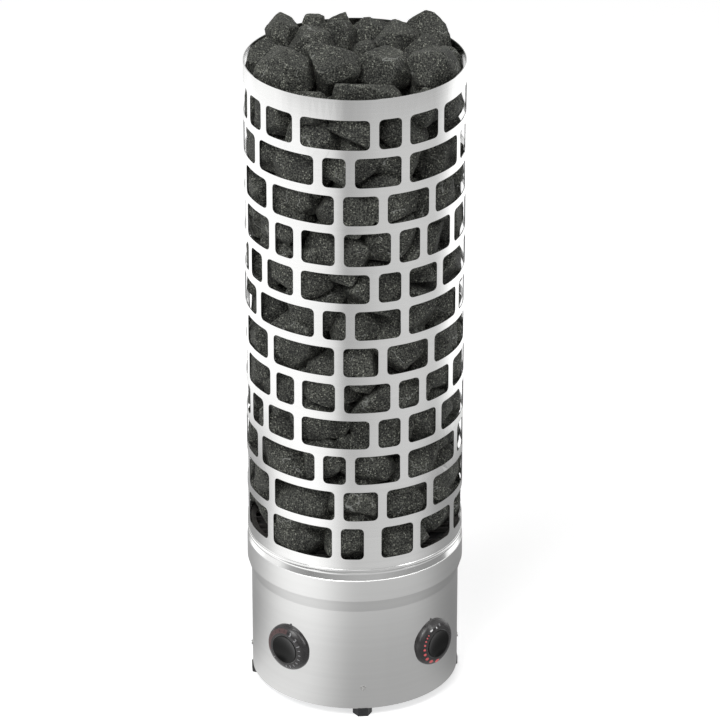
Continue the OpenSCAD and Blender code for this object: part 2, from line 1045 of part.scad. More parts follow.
pole_floor = plate_top + block_h - pole_depth;
block_top = plate_top + block_h;
timer_rear = panel_back - timer_t;

module supply_wires() {
    poles = [-15, 0, 30];
    color("Black") {
        for (i = [0 : phases - 1]) {
            level = block_top + 18 + 8 * i;
            x = wire_pitch * (i - 1);
            wire([
                [poles[i], block_y, pole_floor],
                [poles[i], block_y, level],
                drum_point(-dial_azimuth, timer_rear - wire_bend, x, level),
                drum_point(-dial_azimuth, timer_rear - wire_bend, x, dial_z - wire_pitch),
                drum_point(-dial_azimuth, timer_rear, x, dial_z - wire_pitch)
            ], wire_r);
        }
        wire([[15, block_y, pole_floor], [15, block_y, bar_bottom]], wire_r);
    }
}

// From the timer to the middle of each phase bar, and between the two controls
module switched_wires() {
    thermostat_rear = panel_back - thermostat_t;
    color("Black") {
        for (i = [0 : phases - 1]) {
            order = [1, 0, 2];
            bar = 2 * element_step * order[i] + pin_angle + element_step / 2;
            target = [phase_r * cos(bar), phase_r * sin(bar)];
            level = dial_z + 44 + 10 * i;
            x = wire_pitch * (i - 1);
            wire([
                drum_point(-dial_azimuth, timer_rear, x, dial_z + wire_pitch),
                drum_point(-dial_azimuth, timer_rear - wire_bend, x, dial_z + wire_pitch),
                drum_point(-dial_azimuth, timer_rear - wire_bend, x, level),
                [target[0], target[1], level],
                [target[0], target[1], bar_bottom]
            ], wire_r);
        }
        for (side = [-1, 1]) {
            inset = timer_rear - 14 - side * 4;
            wire([
                drum_point(dial_azimuth, thermostat_rear, side * 8, dial_z),
                drum_point(dial_azimuth, inset, side * 8, dial_z),
                drum_point(-dial_azimuth, inset, -side * 8, dial_z),
                drum_point(-dial_azimuth, timer_rear, -side * 8, dial_z)
            ], wire_r);
        }
    }
}

module earth_wire() {
    color("YellowGreen")
    wire([
        [-30, block_y, pole_floor],
        [-30, block_y, block_top + 10],
        [earth_xy[0], earth_xy[1], block_top + 10],
        [earth_xy[0], earth_xy[1], earth_top]
    ], wire_r);
}

// Stones: each one fills its own cell of a weighted Voronoi division, rounded off by an ellipsoid.

function scatter(layer, i, k) = rands(-1, 1, 9, stone_seed + 97 * layer + 7 * i)[k];

// A stone: centre, size for its weight, half sizes, turn, tilt
function layer_stone(layer, i) =
    let (
        outer = i < outer_stones,
        inner = !outer && i < outer_stones + inner_stones,
        count = outer ? outer_stones : inner_stones,
        r = outer ? outer_ring_r + place_scatter * scatter(layer, i, 0)
            : inner ? inner_ring_r + place_scatter * scatter(layer, i, 0)
            : core_r * (1 + scatter(layer, i, 0)),
        a = stone_turn * layer + 360 * i / count + (outer ? 6 : 10) * scatter(layer, i, 1),
        rise = stagger * (1 - 2 * (i % 2)),
        z = first_layer_z + layer_step * layer + rise + level_scatter * scatter(layer, i, 2),
        size = stone_size + size_scatter * scatter(layer, i, 3),
        half = [for (k = [0 : 2]) size + stone_longer[k] + longer_scatter[k] * scatter(layer, i, 4 + k)]
    )
    [[r * cos(a), r * sin(a), z], size, half, 180 * scatter(layer, i, 7), 35 * scatter(layer, i, 8)];

top_scale = pile_r / top_pile_r;
function top_stone(s) = [
    [0, 0, rim_z] + top_scale * s[0],
    top_scale * (s[1][0] + s[1][1] + s[1][2]) / 3,
    top_scale * s[1],
    s[2],
    s[3]
];

all_stones = concat(
    [for (layer = [0 : stone_layers - 1], i = [0 : layer_count - 1]) layer_stone(layer, i)],
    [for (s = top_stones) top_stone(s)]
);
top_start = stone_layers * layer_count;

function turned(v, turn, tilt) =
    let (
        y = v[1] * cos(tilt) - v[2] * sin(tilt),
        z = v[1] * sin(tilt) + v[2] * cos(tilt)
    )
    [v[0] * cos(turn) - y * sin(turn), v[0] * sin(turn) + y * cos(turn), z];

function unturned(v, turn, tilt) =
    let (
        x = v[0] * cos(turn) + v[1] * sin(turn),
        y = v[1] * cos(turn) - v[0] * sin(turn)
    )
    [x, y * cos(tilt) + v[2] * sin(tilt), v[2] * cos(tilt) - y * sin(tilt)];

// Planes that bound stone n, each as an outward direction and its distance from the centre
function cell_planes(n) =
    let (p = all_stones[n][0], size = all_stones[n][1])
    concat(
        [
            for (j = [0 : len(all_stones) - 1])
                let (d = all_stones[j][0] - p, far = norm(d), other = all_stones[j][1])
                if (j != n && far < near_stone)
                    let (even = (1 + (size * size - other * other) / (far * far)) / 2)
                    [d / far, far * max(least_share, min(1 - least_share, even)) - stone_gap / 2]
        ],
        [
            for (i = [0 : element_count - 1])
                let (
                    a = element_step * i,
                    along = p[1] * cos(a) - p[0] * sin(a),
                    s = max(-leg_half, min(leg_half, along)),
                    near = [
                        element_ring_r * cos(a) - s * sin(a),
                        element_ring_r * sin(a) + s * cos(a),
                        min(p[2], element_top - tube_r)
                    ],
                    d = near - p,
                    far = norm(d)
                )
                if (far < near_element) [d / far, far - keep_off]
        ],
        [[[0, 0, -1], p[2] - pile_floor]]
    );

function wall_reach(p, u) =
    let (
        a = u[0] * u[0] + u[1] * u[1],
        b = p[0] * u[0] + p[1] * u[1],
        c = p[0] * p[0] + p[1] * p[1] - pile_r * pile_r
    )
    a < 0.001 ? 1000 : (sqrt(b * b - a * c) - b) / a;

function ellipsoid_reach(half, v) = 1 / norm([v[0] / half[0], v[1] / half[1], v[2] / half[2]]);

function reach(u, stone, planes) =
    min(concat(
        [wall_reach(stone[0], u), ellipsoid_reach(stone[2], unturned(u, stone[3], stone[4]))],
        [for (q = planes) let (c = u * q[0]) if (c > 0.02) q[1] / c]
    ));

steps = [-1, 0, 1];
coarse_rays = [
    for (x = steps, y = steps, z = steps)
        if (x != 0 || y != 0 || z != 0) [x, y, z] / norm([x, y, z])
];
fine_steps = [-2, -1, 1, 2];
fine_rays = concat(coarse_rays, [
    for (x = fine_steps, y = fine_steps, z = fine_steps)
        if (abs(x) + abs(y) + abs(z) == 4) [x, y, z] / norm([x, y, z])
]);

// Directions from stone n to the stones that it lies on, and to those that lie on it
function bearing_rays(n) = [
    for (j = [0 : len(all_stones) - 1])
        let (d = all_stones[j][0] - all_stones[n][0], far = norm(d))
        if (j != n && far < all_stones[n][1] + all_stones[j][1] + bearing_reach && abs(d[2]) > far / 4)
            d / far
];

module stone(n, rays) {
    s = all_stones[n];
    planes = cell_planes(n);
    directions = concat([for (ray = rays) turned(ray, s[3] + 20, s[4])], bearing_rays(n));
    points = [for (u = directions) s[0] + u * reach(u, s, planes)];
    hull()
        polyhedron(points = points, faces = [[for (i = [0 : len(points) - 1]) i]]);
}

module layers_of_stones(from, to) {
    color("DarkSlateGray")
    for (n = [from * layer_count : (to + 1) * layer_count - 1])
        stone(n, coarse_rays);
}

half_layers = floor(stone_layers / 2);

module stones_top() {
    color("DarkSlateGray")
    for (n = [top_start : len(all_stones) - 1])
        stone(n, fine_rays);
}

base_shell();
bottom_plate();
foot_brackets();
foot_nuts();
shell_screws();
foot(0);  // foot_front
foot(90);  // foot_right
foot(180);  // foot_back
foot(270);  // foot_left
stud(0);  // stud_front
stud(90);  // stud_right
stud(180);  // stud_back
stud(270);  // stud_left
collar_ring();
cage();
element_plate();
deck_screws();
deck_nuts();
shield_spacers();
heat_shield();
stone_grate();
heating_element(1);  // heating_element_1
heating_element(2);  // heating_element_2
heating_element(3);  // heating_element_3
heating_element(4);  // heating_element_4
heating_element(5);  // heating_element_5
heating_element(6);  // heating_element_6
element_nuts();
terminal_insulators();
terminal_pins();
terminal_nuts();
neutral_ring();
phase_bars();
control_bracket(-dial_azimuth);  // timer_bracket
timer_body();
control_shaft(-dial_azimuth);  // timer_shaft
bezel(-dial_azimuth);  // timer_bezel
dial(-dial_azimuth);  // timer_dial
grip(-dial_azimuth);  // timer_grip
control_bracket(dial_azimuth);  // thermostat_bracket
thermostat_body();
control_shaft(dial_azimuth);  // thermostat_shaft
bezel(dial_azimuth);  // thermostat_bezel
dial(dial_azimuth);  // thermostat_dial
grip(dial_azimuth);  // thermostat_grip
control_screws();
limiter_body();
reset_button();
sensor_bulbs();
capillaries();
terminal_block();
cable_gland();
earth_stud();
supply_wires();
switched_wires();
earth_wire();
layers_of_stones(0, half_layers - 1);  // stones_lower
layers_of_stones(half_layers, stone_layers - 1);  // stones_upper
stones_top();
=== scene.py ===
import json
import math
import bmesh
import bpy
import numpy as np
from mathutils import Matrix, Vector


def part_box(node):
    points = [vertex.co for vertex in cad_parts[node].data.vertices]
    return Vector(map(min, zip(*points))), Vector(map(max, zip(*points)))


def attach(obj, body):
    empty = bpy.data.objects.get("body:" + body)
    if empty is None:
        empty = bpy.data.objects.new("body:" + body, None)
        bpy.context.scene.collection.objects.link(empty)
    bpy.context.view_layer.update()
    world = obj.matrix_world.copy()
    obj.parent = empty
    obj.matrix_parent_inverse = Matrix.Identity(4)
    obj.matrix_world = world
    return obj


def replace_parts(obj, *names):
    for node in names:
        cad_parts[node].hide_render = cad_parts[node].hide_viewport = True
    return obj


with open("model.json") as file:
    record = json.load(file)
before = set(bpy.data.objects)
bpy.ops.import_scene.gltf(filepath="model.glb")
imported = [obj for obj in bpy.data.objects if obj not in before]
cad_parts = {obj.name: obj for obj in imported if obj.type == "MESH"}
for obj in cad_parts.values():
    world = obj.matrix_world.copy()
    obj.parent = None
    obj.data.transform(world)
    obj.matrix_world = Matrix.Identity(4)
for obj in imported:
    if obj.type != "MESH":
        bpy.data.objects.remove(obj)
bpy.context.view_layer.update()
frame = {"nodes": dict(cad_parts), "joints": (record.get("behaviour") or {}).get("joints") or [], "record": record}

# Sauna heater: steel cage of stones on a drum with two dials. Metres, the front faces -Y.
cadNodes = frame["nodes"]
record = frame["record"]
joints = {joint["name"]: joint for joint in frame["joints"]}
bodyOf = {node: body for body, members in record["behaviour"]["bodies"].items() for node in members}
slotOf = {part["node"]: part["material_slot"] for part in record["subparts"]}
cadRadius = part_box("base_shell")[1].x
mm = 0.001
print("frame loaded:", len(cadNodes), "nodes")

# Camera, at the angle and distance that give the photo's outline of the cage
cameraView = {
    "distance": 5.822,  # level distance from the stove's axis
    "aboveRim": 2.312,
    "pitch": 25.48,
    "azimuth": -4.5,
    "lens": 226.0,
    "sensor": 36,
    "shiftX": 0.0072,
    "farthest": 60,
}


def makeCamera(view):
    data = bpy.data.cameras.new("photoCamera")
    data.lens = view["lens"]
    data.sensor_width = view["sensor"]
    data.shift_x = view["shiftX"]
    data.clip_end = view["farthest"]
    camera = bpy.data.objects.new("photoCamera", data)
    bpy.context.scene.collection.objects.link(camera)
    turn = math.radians(view["azimuth"])
    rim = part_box("cage")[1].z
    camera.location = (
        view["distance"] * math.sin(turn),
        -view["distance"] * math.cos(turn),
        rim + view["aboveRim"],
    )
    camera.rotation_euler = (math.radians(90 - view["pitch"]), 0, turn)
    bpy.context.scene.camera = camera


makeCamera(cameraView)

# Studio: white floor and sky, a large soft lamp at the left, weaker ones at the right and above.
# Azimuths are in degrees from the front, positive to the right.
studio = {
    "floorHalf": 20,
    "floorGrey": 0.84,
    "floorLift": 0.56,  # added for the camera, so that the open floor is white and the shadow stays
    "skyLevel": 0.36,
    "lamps": [
        # name, azimuth, distance, height, size, watts
        ("keyLamp", -38, 2.7, 3.7, 2.3, 96),
        ("fillLamp", 75, 3.6, 1.8, 1.4, 10),
        ("topLamp", 20, 0.9, 3.4, 1.6, 12),
    ],
    "lampAim": 0.55,  # height on the axis
    # What the steel mirrors of the floor: azimuth, grey. The floor glows with these greys for glossy rays only, a
    # painted reflection. The drum mirrors what is near.
    "mirroredNear": [
        (-180, 0.50), (-152, 0.50), (-134, 0.50), (-116, 0.63), (-98, 1.07), (-84, 1.60), (-63, 1.84),
        (-43, 1.87), (-31, 1.60), (-19, 1.21), (-7, 0.91), (5, 0.94), (20, 0.96), (41, 0.98), (54, 0.98),
        (68, 0.80), (84, 0.58), (102, 0.49), (125, 0.48), (150, 0.42), (180, 0.44),
    ],
    "mirroredFar": [
        (-180, 0.60), (-168, 1.20), (-140, 1.90), (-110, 1.80), (-60, 1.76), (-45, 1.62),
        (-36, 1.54), (-25, 1.28), (-14, 0.70), (0, 0.80), (20, 0.97), (50, 1.04),
        (70, 1.00), (85, 0.98), (98, 1.32), (112, 1.90), (150, 1.95), (168, 1.10), (180, 0.60),
    ],
    # The farthest floor and the low sky, which only tilted steel mirrors
    "mirroredLow": [
        (-180, 0.42), (-140, 0.50), (-126, 0.55), (-117, 1.30), (-88, 1.36), (-74, 0.60), (-50, 0.40),
        (-29, 0.52), (-4, 0.60), (20, 0.65), (52, 0.49), (76, 0.42), (97, 0.38), (108, 0.52),
        (116, 0.80), (126, 1.40), (150, 1.30), (180, 0.42),
    ],
    # Painted shadow: near the stove the floor's glow is darkened, a painted shade of the stove in what the steel
    # mirrors
    "paintedShadowEnds": (0.30, 0.60),  # radius at which the stove's own shade on the floor ends
    "paintedShadowShare": 0.71,  # share of the grey that is left there
    "nearEnds": (0.72, 1.20),  # radius at which near turns to far
    "farEnds": (2.3, 2.9),  # and far to low
    # The high sky, with tall strip lights at both sides
    "mirroredHigh": [
        (-180, 0.90), (-125, 1.10), (-98, 1.50), (-70, 1.00), (-55, 0.85), (-50, 6.00), (-44, 6.00),
        (-39, 0.80), (-16, 0.80), (-9, 1.50), (6, 1.50), (14, 0.80), (47, 0.85), (52, 8.00),
        (60, 8.00), (65, 0.95), (98, 1.40), (125, 1.30), (180, 0.90),
    ],
    "lowSky": (0.20, 0.36),  # rise of a ray, from where the low sky turns to the high one
}


def addNode(tree, kind, **values):
    made = tree.nodes.new(kind)
    for name, value in values.items():
        setattr(made, name, value)
    return made


# A socket takes another node's output, a number or a colour
def giveValue(tree, socket, value):
    if isinstance(value, bpy.types.NodeSocket):
        tree.links.new(value, socket)
    elif isinstance(value, tuple):
        socket.default_value = (*value, 1)
    elif socket.type == "RGBA":
        socket.default_value = (value, value, value, 1)
    else:
        socket.default_value = value


def giveValues(tree, node, values):
    for label, value in values.items():
        giveValue(tree, node.inputs[label], value)
    return node


def mathNode(tree, operation, *values, clamp=False):
    made = addNode(tree, "ShaderNodeMath", operation=operation, use_clamp=clamp)
    return giveValues(tree, made, dict(enumerate(values))).outputs[0]


# Mixes two colours, which are inputs 6 and 7 and output 2 of the node
def blend(tree, factor, first, second):
    made = addNode(tree, "ShaderNodeMix", data_type="RGBA")
    giveValues(tree, made, {0: factor, 6: first, 7: second})
    return made.outputs[2]


def spread(tree, factor, low, high):
    return mathNode(tree, "MULTIPLY_ADD", factor, high - low, low)


def softStep(tree, value, ends):
    made = addNode(tree, "ShaderNodeMapRange", interpolation_type="SMOOTHSTEP")
    return giveValues(tree, made, {"Value": value, "From Min": ends[0], "From Max": ends[1]}).outputs[0]


def splitVector(tree, vector):
    made = addNode(tree, "ShaderNodeSeparateXYZ")
    tree.links.new(vector, made.inputs[0])
    return made.outputs


def joinVector(tree, x=0.0, y=0.0, z=0.0):
    made = addNode(tree, "ShaderNodeCombineXYZ")
    return giveValues(tree, made, {"X": x, "Y": y, "Z": z}).outputs[0]


# The azimuth of a point or direction, in radians from the front
def azimuthOf(tree, vector):
    parts = splitVector(tree, vector)
    return mathNode(tree, "ARCTAN2", parts["X"], mathNode(tree, "MULTIPLY", parts["Y"], -1))


# A grey for each azimuth, from stops of degrees and grey
def azimuthRamp(tree, vector, stops, brightest):
    made = addNode(tree, "ShaderNodeValToRGB")
    elements = made.color_ramp.elements
    while len(elements) < len(stops):
        elements.new(0.5)
    for element, (angle, grey) in zip(elements, stops):
        element.position = (angle + 180) / 360
        element.color = (*(grey / brightest,) * 3, 1)
    turn = mathNode(tree, "MULTIPLY_ADD", azimuthOf(tree, vector), 0.5 / math.pi, 0.5)
    tree.links.new(turn, made.inputs[0])
    return made.outputs[0]


# White to the camera, a dimmer light for the object, and greys by direction where steel mirrors it
def makeSky(settings):
    world = bpy.data.worlds.new("studioSky")
    bpy.context.scene.world = world
    world.use_nodes = True
    tree = world.node_tree
    rays = addNode(tree, "ShaderNodeLightPath").outputs
    seen = mathNode(tree, "MAXIMUM", rays["Is Camera Ray"], rays["Is Glossy Ray"])
    seen = mathNode(tree, "MAXIMUM", seen, rays["Is Transmission Ray"])
    direction = addNode(tree, "ShaderNodeTexCoord").outputs["Generated"]
    bands = [settings[band] for band in ("mirroredLow", "mirroredHigh")]
    brightest = max(grey for band in bands for _, grey in band)
    low, high = (azimuthRamp(tree, direction, band, brightest) for band in bands)
    rise = splitVector(tree, direction)["Z"]
    mirrored = blend(tree, softStep(tree, rise, settings["lowSky"]), low, high)
    giveValues(tree, tree.nodes["Background"], {
        "Color": blend(tree, rays["Is Glossy Ray"], 1 / brightest, mirrored),
        "Strength": spread(tree, seen, settings["skyLevel"] * brightest, brightest),
    })


def makeFloor(settings):
    half = settings["floorHalf"]
    mesh = bpy.data.meshes.new("floor")
    corners = [(-half, -half, 0), (half, -half, 0), (half, half, 0), (-half, half, 0)]
    mesh.from_pydata(corners, [], [(0, 1, 2, 3)])
    floor = bpy.data.objects.new("floor", mesh)
    bpy.context.scene.collection.objects.link(floor)
    material = bpy.data.materials.new("studioFloor")
    material.use_nodes = True
    tree = material.node_tree
    tree.nodes.clear()
    rays = addNode(tree, "ShaderNodeLightPath").outputs
    point = addNode(tree, "ShaderNodeTexCoord").outputs["Object"]
    rings = [settings[ring] for ring in ("mirroredNear", "mirroredFar", "mirroredLow")]
    brightest = max(grey for ring in rings for _, grey in ring)
    near, far, low = (azimuthRamp(tree, point, ring, brightest) for ring in rings)
    length = addNode(tree, "ShaderNodeVectorMath", operation="LENGTH")
    tree.links.new(point, length.inputs[0])
    radius = length.outputs["Value"]
    mirrored = blend(tree, softStep(tree, radius, settings["nearEnds"]), near, far)
    mirrored = blend(tree, softStep(tree, radius, settings["farEnds"]), mirrored, low)
    # The stove's painted shadow in the floor's glow
    close = softStep(tree, radius, settings["paintedShadowEnds"])
    plain = addNode(tree, "ShaderNodeBsdfDiffuse")
    lift = addNode(tree, "ShaderNodeEmission")
    paintedReflectionGlow = addNode(tree, "ShaderNodeEmission")
    seen = addNode(tree, "ShaderNodeAddShader")
    shader = addNode(tree, "ShaderNodeMixShader")
    giveValues(tree, plain, {"Color": settings["floorGrey"]})
    lifted = mathNode(tree, "MULTIPLY", rays["Is Camera Ray"], settings["floorLift"])
    giveValues(tree, lift, {"Strength": lifted})
    # For glossy rays the floor glows with the painted greys, darkened near the stove: painted reflections and a
    # painted shadow
    giveValues(tree, paintedReflectionGlow, {
        "Color": mirrored, "Strength": spread(tree, close, settings["paintedShadowShare"] * brightest, brightest),
    })
    giveValues(tree, seen, {0: plain.outputs[0], 1: lift.outputs[0]})
    giveValues(tree, shader, {0: rays["Is Glossy Ray"], 1: seen.outputs[0], 2: paintedReflectionGlow.outputs[0]})
    tree.links.new(shader.outputs[0], addNode(tree, "ShaderNodeOutputMaterial").inputs["Surface"])
    mesh.materials.append(material)


def makeLamps(settings):
    aim = Vector((0, 0, settings["lampAim"]))
    for name, azimuth, distance, height, size, watts in settings["lamps"]:
        data = bpy.data.lights.new(name, "AREA")
        data.shape = "SQUARE"
        data.size = size
        data.energy = watts
        lamp = bpy.data.objects.new(name, data)
        turn = math.radians(azimuth)
        lamp.location = (distance * math.sin(turn), -distance * math.cos(turn), height)
        lamp.rotation_euler = (aim - lamp.location).to_track_quat("-Z", "Y").to_euler()
        bpy.context.scene.collection.objects.link(lamp)


makeSky(studio)
makeFloor(studio)
makeLamps(studio)
bpy.context.scene.view_settings.view_transform = "Standard"
print("studio ready")


# Shared shader groups: they put out masks, tones and heights only
brushing = {
    "radius": 0.155,  # at which the lines have their length
    "line": (1.0, 3, 0.65),  # scale, detail and roughness of the noise
    "streak": (0.09, 3, 0.6),
}
handling = {
    "cloud": (6, 0.62),  # detail and roughness of the noise
    "markEnds": (0.42, 0.68),
    "grain": (3, 0.6),
}
crystals = {
    "patches": (5, 0.6),  # detail and roughness of the noise
    "grain": (4, 0.7),
    # Tone is grainTone times the grain, plus patchTone times the patches, plus darkness
    "grainTone": 7.0,
    "patchTone": 1.2,
    "darkness": -3.75,
    "fleckLevel": (-0.60, 1.17),  # a cell above it is a fleck; it is lower in a pale patch
    "fleckFade": (-2.2, 1.25),  # from the middle of the cell
    "veins": (17.0, 3, 0.5),  # scale, detail and roughness
    "veinFade": -150.0,
    "veinPatch": 0.56,  # veins show only in patches above this level
    "pit": -0.35,  # how the height changes from the middle of a cell
}


def newGroup(name, inputs, outputs):
    tree = bpy.data.node_groups.new(name, "ShaderNodeTree")
    for label, value in inputs.items():
        tree.interface.new_socket(label, in_out="INPUT", socket_type="NodeSocketFloat").default_value = value
    for label in outputs:
        tree.interface.new_socket(label, in_out="OUTPUT", socket_type="NodeSocketFloat")
    return tree, addNode(tree, "NodeGroupInput").outputs, addNode(tree, "NodeGroupOutput")


def noise(tree, vector, scale, detail, roughness):
    made = addNode(tree, "ShaderNodeTexNoise")
    giveValues(tree, made, {"Vector": vector, "Scale": scale, "Detail": detail, "Roughness": roughness})
    return made.outputs["Fac"]


# Fine lines round the stove's axis, as a brushing belt leaves them
def brushedLines(form):
    tree, given, result = newGroup("brushedLines", {"Lines": 1500.0, "Length": 22.0}, ["Line", "Streak"])
    point = addNode(tree, "ShaderNodeTexCoord").outputs["Object"]
    reach = mathNode(tree, "MULTIPLY", given["Length"], form["radius"])
    around = mathNode(tree, "MULTIPLY", azimuthOf(tree, point), reach)
    across = mathNode(tree, "MULTIPLY", splitVector(tree, point)["Z"], given["Lines"])
    unrolled = joinVector(tree, around, across)
    giveValues(tree, result, {
        "Line": noise(tree, unrolled, *form["line"]),
        "Streak": noise(tree, unrolled, *form["streak"]),
    })
    return tree


# Handling marks and a fine even grain
def handledSurface(form):
    tree, given, result = newGroup("handledSurface", {"Marks": 9.0, "Grain": 900.0}, ["Mark", "Grain"])
    point = addNode(tree, "ShaderNodeTexCoord").outputs["Object"]
    cloud = noise(tree, point, given["Marks"], *form["cloud"])
    giveValues(tree, result, {
        "Mark": softStep(tree, cloud, form["markEnds"]),
        "Grain": noise(tree, point, given["Grain"], *form["grain"]),
    })
    return tree


# Crystals, pale flecks and broken surface of dark volcanic stone
def stoneCrystals(form):
    tree, given, result = newGroup(
        "stoneCrystals", {"Crystals": 470.0, "Patches": 24.0}, ["Tone", "Fleck", "Vein", "Height"]
    )
    point = addNode(tree, "ShaderNodeTexCoord").outputs["Object"]
    patches = noise(tree, point, given["Patches"], *form["patches"])
    grain = noise(tree, point, given["Crystals"], *form["grain"])
    cloud = mathNode(tree, "MULTIPLY_ADD", patches, form["patchTone"], form["darkness"])
    cells = addNode(tree, "ShaderNodeTexVoronoi")
    giveValues(tree, cells, {"Vector": point, "Scale": given["Crystals"]})
    pick = addNode(tree, "ShaderNodeSeparateColor")
    tree.links.new(cells.outputs["Color"], pick.inputs[0])
    share = mathNode(tree, "MULTIPLY_ADD", patches, *form["fleckLevel"])
    chosen = mathNode(tree, "GREATER_THAN", pick.outputs[0], share)
    middle = mathNode(tree, "MULTIPLY_ADD", cells.outputs["Distance"], *form["fleckFade"], clamp=True)
    ridge = mathNode(tree, "ABSOLUTE", mathNode(tree, "SUBTRACT", noise(tree, point, *form["veins"]), 0.5))
    vein = mathNode(tree, "MULTIPLY_ADD", ridge, form["veinFade"], 1.0, clamp=True)
    inPatch = mathNode(tree, "GREATER_THAN", patches, form["veinPatch"])
    giveValues(tree, result, {
        "Tone": mathNode(tree, "MULTIPLY_ADD", grain, form["grainTone"], cloud, clamp=True),
        "Fleck": mathNode(tree, "MULTIPLY", chosen, middle),
        "Vein": mathNode(tree, "MULTIPLY", vein, inPatch),
        "Height": mathNode(tree, "MULTIPLY_ADD", cells.outputs["Distance"], form["pit"], grain),
    })
    return tree


groups = {
    "lines": brushedLines(brushing),
    "handled": handledSurface(handling),
    "crystals": stoneCrystals(crystals),
}


def placeGroup(tree, group, **values):
    made = addNode(tree, "ShaderNodeGroup", node_tree=groups[group])
    for label, value in values.items():
        made.inputs[label].default_value = value
    return made.outputs


def newMaterial(name):
    material = bpy.data.materials.new(name)
    material.use_nodes = True
    return material, material.node_tree, material.node_tree.nodes["Principled BSDF"]


def giveBump(tree, shader, height, strength, distance):
    made = addNode(tree, "ShaderNodeBump")
    giveValues(tree, made, {"Height": height, "Strength": strength, "Distance": distance})
    tree.links.new(made.outputs[0], shader.inputs["Normal"])


# Marks and grain are scales of their noise
brushedForm = {
    "marks": 7.0,
    "dull": 0.90,  # share of the colour that is left in a dull streak
    "marked": 0.16,  # how far a mark turns to the dull colour
    "lineRoughness": 0.08,
    "markRoughness": 0.035,
    "bump": 0.35,
}
metalForm = {"marks": 34.0, "grain": 1400.0, "grainRoughness": 0.12, "bump": 0.4, "depth": 0.00004}
mouldedForm = {"marks": 55.0, "grain": 1600.0, "grainRoughness": 0.14, "bump": 0.5, "depth": 0.00005}


# Rolled stainless sheet, brushed round the stove
def brushedSteel(name, colour, roughness, lineDepth, anisotropy, lines=1500.0, form=brushedForm):
    material, tree, shader = newMaterial(name)
    brush = placeGroup(tree, "lines", Lines=lines)
    hands = placeGroup(tree, "handled", Marks=form["marks"])
    dull = tuple(form["dull"] * part for part in colour)
    streaked = blend(tree, brush["Streak"], dull, colour)
    marked = mathNode(tree, "MULTIPLY", hands["Mark"], form["marked"])
    low = roughness - form["lineRoughness"] / 2
    lined = mathNode(tree, "MULTIPLY_ADD", brush["Line"], form["lineRoughness"], low)
    giveValues(tree, shader, {
        "Base Color": blend(tree, marked, streaked, dull),
        "Metallic": 1.0,
        "Anisotropic": anisotropy,
        "Roughness": mathNode(tree, "MULTIPLY_ADD", hands["Mark"], form["markRoughness"], lined),
        "Tangent": addNode(tree, "ShaderNodeTangent", direction_type="RADIAL", axis="Z").outputs[0],
    })
    giveBump(tree, shader, brush["Line"], form["bump"], lineDepth)
    return material


# A grained surface with handling marks of another tone
def grained(name, colour, roughness, markTone, form, values):
    material, tree, shader = newMaterial(name)
    hands = placeGroup(tree, "handled", Marks=form["marks"], Grain=form["grain"])
    worn = tuple(min(1.0, markTone * part) for part in colour)
    low = roughness - form["grainRoughness"] / 2
    giveValues(tree, shader, {
        "Base Color": blend(tree, hands["Mark"], colour, worn),
        "Roughness": mathNode(tree, "MULTIPLY_ADD", hands["Grain"], form["grainRoughness"], low),
        **values,
    })
    giveBump(tree, shader, hands["Grain"], form["bump"], form["depth"])
    return material


# Any other metal part
def plainMetal(name, colour, roughness, markTone=0.8):
    return grained(name, colour, roughness, markTone, metalForm, {"Metallic": 1.0})


# Plastic, ceramic, ink or a wire's sleeve
def moulded(name, colour, roughness, rubbed=1.25, specular=0.5):
    return grained(name, colour, roughness, rubbed, mouldedForm, {"Specular IOR Level": specular})


stoneFinish = {
    "deep": (0.007, 0.0075, 0.0068),
    "pale": (0.118, 0.121, 0.107),
    "fleck": (0.46, 0.47, 0.40),
    "vein": (0.42, 0.43, 0.41),
    "edge": (0.36, 0.37, 0.33),
    "fleckShare": 0.85,
    "veinShare": 0.6,
    "edgeShare": 0.5,
    "wornEnds": (0.525, 0.60),  # of Blender's pointiness, which is 0.5 on flat ground
    "specular": 0.2,
    "roughness": (0.62, 0.9),
    "bump": 0.9,
    "depth": 0.0009,
}


def saunaStone(finish):
    material, tree, shader = newMaterial("saunaStone")
    rock = placeGroup(tree, "crystals")
    colour = blend(tree, rock["Tone"], finish["deep"], finish["pale"])
    for mark in ("fleck", "vein"):
        share = mathNode(tree, "MULTIPLY", rock[mark.capitalize()], finish[mark + "Share"])
        colour = blend(tree, share, colour, finish[mark])
    pointed = addNode(tree, "ShaderNodeNewGeometry").outputs["Pointiness"]
    worn = softStep(tree, pointed, finish["wornEnds"])
    edge = mathNode(tree, "MULTIPLY", worn, mathNode(tree, "MULTIPLY", rock["Tone"], finish["edgeShare"]))
    giveValues(tree, shader, {
        "Base Color": blend(tree, edge, colour, finish["edge"]),
        "Roughness": spread(tree, rock["Tone"], *finish["roughness"]),
        "Specular IOR Level": finish["specular"],
    })
    giveBump(tree, shader, rock["Height"], finish["bump"], finish["depth"])
    return material


